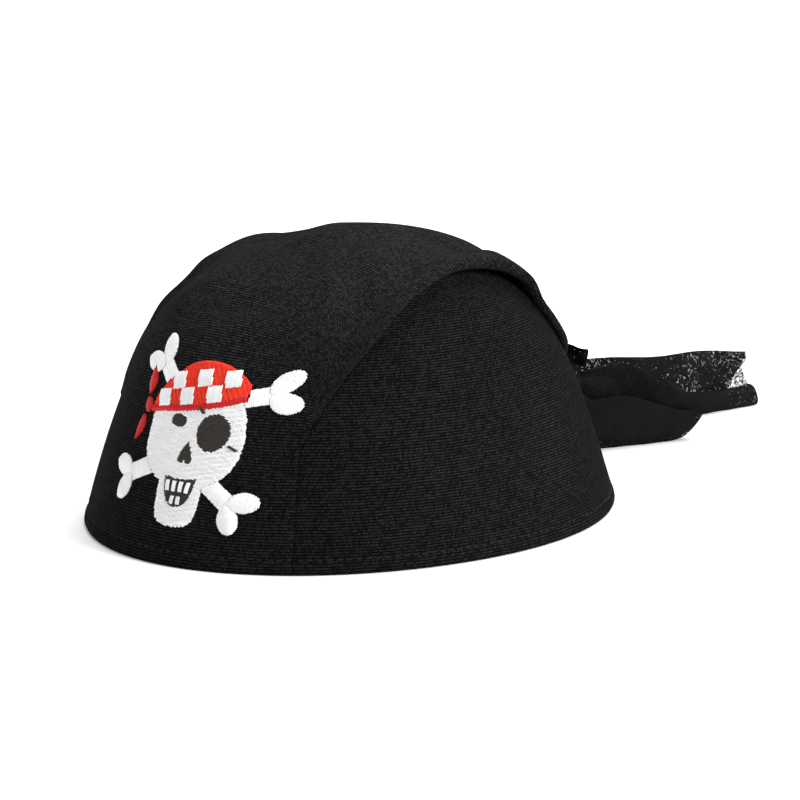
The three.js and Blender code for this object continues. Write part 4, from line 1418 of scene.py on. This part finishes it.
class PIRATEHAT_OT_skull(HatOperator, bpy.types.Operator):
    """Sew the skull, its features and teeth on the brow"""

    bl_idname = "pirate_hat.skull"
    bl_label = "Skull"

    def make(self, scene):
        sewer = Embroiderer(Dome(), 11)
        gap = 0.1
        holes = [scarf_outline(gap), oval(*SCARF_KNOT, *SCARF_KNOT_HALF, gap)]
        holes += [oval(*EYE, gap), oval(*PATCH, gap), nose_outline(gap), mouth_outline(gap)]
        under = sewer.underlay(skull_outline(-0.6), holes, 78, 6, 0.8)
        rows = sewer.fill(skull_outline(), holes, -15, 0.52, 3.4, 0.35)
        sewer.sew("skull", under + rows, ["white"], "white_thread")
        for node, outline, tilt in (
            ("eye_socket", oval(*EYE), 4),
            ("eye_patch", oval(*PATCH), 8),
            ("nose_hole", nose_outline(), 6),
            ("mouth", mouth_outline(), 5),
        ):
            threads = sewer.underlay(outline, (), tilt + 80, 4, 0.7)
            threads += sewer.fill(outline, (), tilt, 0.5, 3.2, 0.2)
            sewer.sew(node, threads, ["dark"], "dark_thread")
        x, y, wide, tall = PATCH
        straps = {
            "patch_strap_upper": ((x - wide * 0.75, y + tall * 0.95), (x - 7, y + 8)),
            "patch_strap_lower": ((x + wide * 1.05, y - tall * 0.6), (x + 9.5, y - 5)),
        }
        for node, (start, end) in straps.items():
            threads = []
            for shift in np.array([[-0.28, -0.1], [0.28, 0.1]]):
                threads.append(sewer.thread(start + shift, end + shift, 0.95, 1.0, 0.6))
            sewer.sew(node, threads, ["dark"], "dark_thread")
        for name, places, gum, reach in (
            ("tooth_upper", (-4.2, -1.4, 1.4, 4.2), 0.7, -3.2),
            ("tooth_lower", (-1.3, 1.3), -0.85, 2.4),
        ):
            for number, place in enumerate(places, 1):
                root = (MOUTH[0] + place, MOUTH[1] + MOUTH[3] * gum)
                tip = (MOUTH[0] + place * 0.9, root[1] + reach)
                tilt = math.degrees(math.atan2(tip[1] - root[1], tip[0] - root[0]))
                tooth = bar_outline(root, tip, 1.6)
                threads = sewer.satin(tooth, tilt, 0.98, 0.12, 0.16, 0.95)
                sewer.sew(f"{name}_{number}", threads, ["white"], "white_thread")


class PIRATEHAT_OT_bones(HatOperator, bpy.types.Operator):
    """Sew the four ends of the crossed bones"""

    bl_idname = "pirate_hat.bones"
    bl_label = "Crossed bones"

    def make(self, scene):
        sewer = Embroiderer(Dome(), 23)
        gap = 0.35
        holes = [skull_outline(gap), scarf_outline(gap), leaf_outline(*SCARF_END, gap)]
        for node, (start, finish) in BONES.items():
            threads = []
            for number, (outline, way) in enumerate(bone_parts(start, finish)):
                threads += sewer.satin(outline, way, 0.45 + 0.22 * number, 0.15, 0.3, holes=holes)
            sewer.sew(node, threads, ["white"], "white_thread")


class PIRATEHAT_OT_scarf(HatOperator, bpy.types.Operator):
    """Sew the checked headscarf, its hem, knot and two ends"""

    bl_idname = "pirate_hat.scarf"
    bl_label = "Headscarf"

    def make(self, scene):
        sewer = Embroiderer(Dome(), 37)
        outline = scarf_outline()
        threads = sewer.underlay(outline, (), 8, 5, 0.7)
        threads += sewer.fill(outline, (), 96, 0.5, 3.6, 0.1)
        hem = self.hem(sewer, outline)
        sewer.sew("scarf_band", threads + hem, ["red", "deep red"], "red_thread")
        knot = sewer.satin(oval(*SCARF_KNOT, *SCARF_KNOT_HALF), 10, 0.55, 0.1, 0.35, 0.9)
        sewer.sew("scarf_knot", knot, ["deep red"], "red_thread")
        for node, leaf, tilt in (
            ("scarf_end_upper", leaf_outline(*SCARF_END), 8),
            ("scarf_end_lower", leaf_outline((-1, -3), (-4, -12), 7), -16),
        ):
            threads = sewer.satin(leaf, tilt + 18, 0.5, 0.12, 0.5)
            sewer.sew(node, threads, ["deep red"], "red_thread")
        for number, (x, y) in enumerate(CHECKS, 1):
            half = np.array(CHECK_SIZE) / 2
            square = [-half, half * [1, -1], half, half * [-1, 1]]
            corners = turned(square, math.radians(CHECK_TILT)) + [x, y]
            threads = sewer.satin(corners, 96, 1.0, 0.18, 0.12)
            sewer.sew(f"scarf_check_{number}", threads, ["white"], "white_thread")

    def hem(self, sewer, outline):
        """Short slanted stitches along the scarf's lower edge, in the deeper red."""
        edge = flowing_path(outline[:11], 90)
        threads = []
        for here, after in zip(edge[:-1], edge[1:]):
            way, up = direction(here, after)
            reach = sewer.scatter.uniform(1.6, 2.1)
            start = here - up * sewer.scatter.uniform(0.1, 0.5)
            thread = sewer.thread(start, here + up * reach + way * 0.5, 0.78, 0.95, 0.56, 0.2)
            thread["colour"] = 1
            threads.append(thread)
        return threads


# ---- The studio ----
VIEW_AZIMUTH, VIEW_ELEVATION = 41, 12.5
VIEW_CENTRE = (0, 0, 0.04)
VIEW_DISTANCE, LENS = 1.2, 159.8
VIEW_SHIFT = (0.064, -0.012)


def out_towards(azimuth, elevation):
    """The way out from the hat, in degrees from the front towards +X, and upwards."""
    turn, tilt = math.radians(azimuth), math.radians(elevation)
    return Vector((math.sin(turn) * math.cos(tilt), -math.cos(turn) * math.cos(tilt), math.sin(tilt)))


def soft_sun(name, strength, azimuth, elevation, spread):
    """An even, soft light from one direction."""
    light = bpy.data.lights.new(name, "SUN")
    light.energy, light.angle = strength, math.radians(spread)
    towards = out_towards(azimuth, elevation)
    add_object(name, light).rotation_euler = towards.to_track_quat("Z", "Y").to_euler()


class PIRATEHAT_OT_stage(HatOperator, bpy.types.Operator):
    """Set out the pale floor, soft lights and camera"""

    bl_idname = "pirate_hat.stage"
    bl_label = "Floor, lights and camera"

    def make(self, scene):
        studio = look("studio")
        bm = bmesh.new()
        bmesh.ops.create_grid(bm, x_segments=8, y_segments=8, size=12)
        mesh = bpy.data.meshes.new("floor")
        bm.to_mesh(mesh)
        bm.free()
        floor = add_object("floor", mesh)
        paper, tree, shader = new_material("Pale floor", Roughness=0.9, Specular_IOR_Level=0.1)
        where = put(tree, "ShaderNodeTexCoord").outputs["Object"]
        tint = tuple(studio.floor)
        tone = blend_colours(tree, noise(tree, where, 3.0), [part * 0.985 for part in tint], tint)
        tree.links.new(tone, shader.inputs["Base Color"])
        mesh.materials.append(paper)
        world = bpy.data.worlds.new("Studio")
        world.use_nodes = True
        sky = world.node_tree.nodes["Background"]
        sky.inputs["Color"].default_value = (1, 1, 1, 1)
        sky.inputs["Strength"].default_value = studio.surround
        scene.world = world
        soft_sun("key", studio.key, 190, 62, 40)
        soft_sun("side", studio.side, 104, 28, 24)
        soft_sun("fill", studio.fill, -35, 35, 50)
        camera = bpy.data.cameras.new("camera")
        camera.lens, camera.sensor_width = LENS, 36
        camera.shift_x, camera.shift_y = VIEW_SHIFT
        camera.clip_end = 50
        eye = add_object("camera", camera)
        back = out_towards(VIEW_AZIMUTH, VIEW_ELEVATION)
        eye.location = Vector(VIEW_CENTRE) + back * VIEW_DISTANCE
        eye.rotation_euler = back.to_track_quat("Z", "Y").to_euler()
        scene.camera = eye
        scene.view_settings.view_transform = "Standard"


class PIRATEHAT_PT_panel(bpy.types.Panel):
    """Lists the hat's pieces and the sizes they are made to"""

    bl_idname = "PIRATEHAT_PT_panel"
    bl_label = "Pirate hat"
    bl_space_type = "VIEW_3D"
    bl_region_type = "UI"
    bl_category = "Pirate Hat"

    def draw(self, context):
        for operator in OPERATORS:
            self.layout.operator(operator.bl_idname)
        for group in GROUPS:
            box = self.layout.box()
            box.label(text=group.capitalize())
            for prop in GROUPS[group].__annotations__:
                box.prop(look(group), prop)


GROUPS = {"sizes": HatSizes, "cloth": ClothLook, "thread": ThreadLook, "studio": StudioLook}
OPERATORS = (
    PIRATEHAT_OT_stage,
    PIRATEHAT_OT_crown_cloth,
    PIRATEHAT_OT_side_cloths,
    PIRATEHAT_OT_inner_layers,
    PIRATEHAT_OT_rim,
    PIRATEHAT_OT_knot,
    PIRATEHAT_OT_tails,
    PIRATEHAT_OT_skull,
    PIRATEHAT_OT_bones,
    PIRATEHAT_OT_scarf,
)


def register():
    for kind in (*GROUPS.values(), *OPERATORS, PIRATEHAT_PT_panel):
        bpy.utils.register_class(kind)
    for group, kind in GROUPS.items():
        setattr(bpy.types.Scene, f"pirate_hat_{group}", PointerProperty(type=kind))


def unregister():
    for group in GROUPS:
        delattr(bpy.types.Scene, f"pirate_hat_{group}")
    for kind in reversed((*GROUPS.values(), *OPERATORS, PIRATEHAT_PT_panel)):
        bpy.utils.unregister_class(kind)


def main():
    register()
    make_materials()
    for operator in OPERATORS:
        group, name = operator.bl_idname.split(".")
        getattr(getattr(bpy.ops, group), name)()


if __name__ == "__main__":
    main()
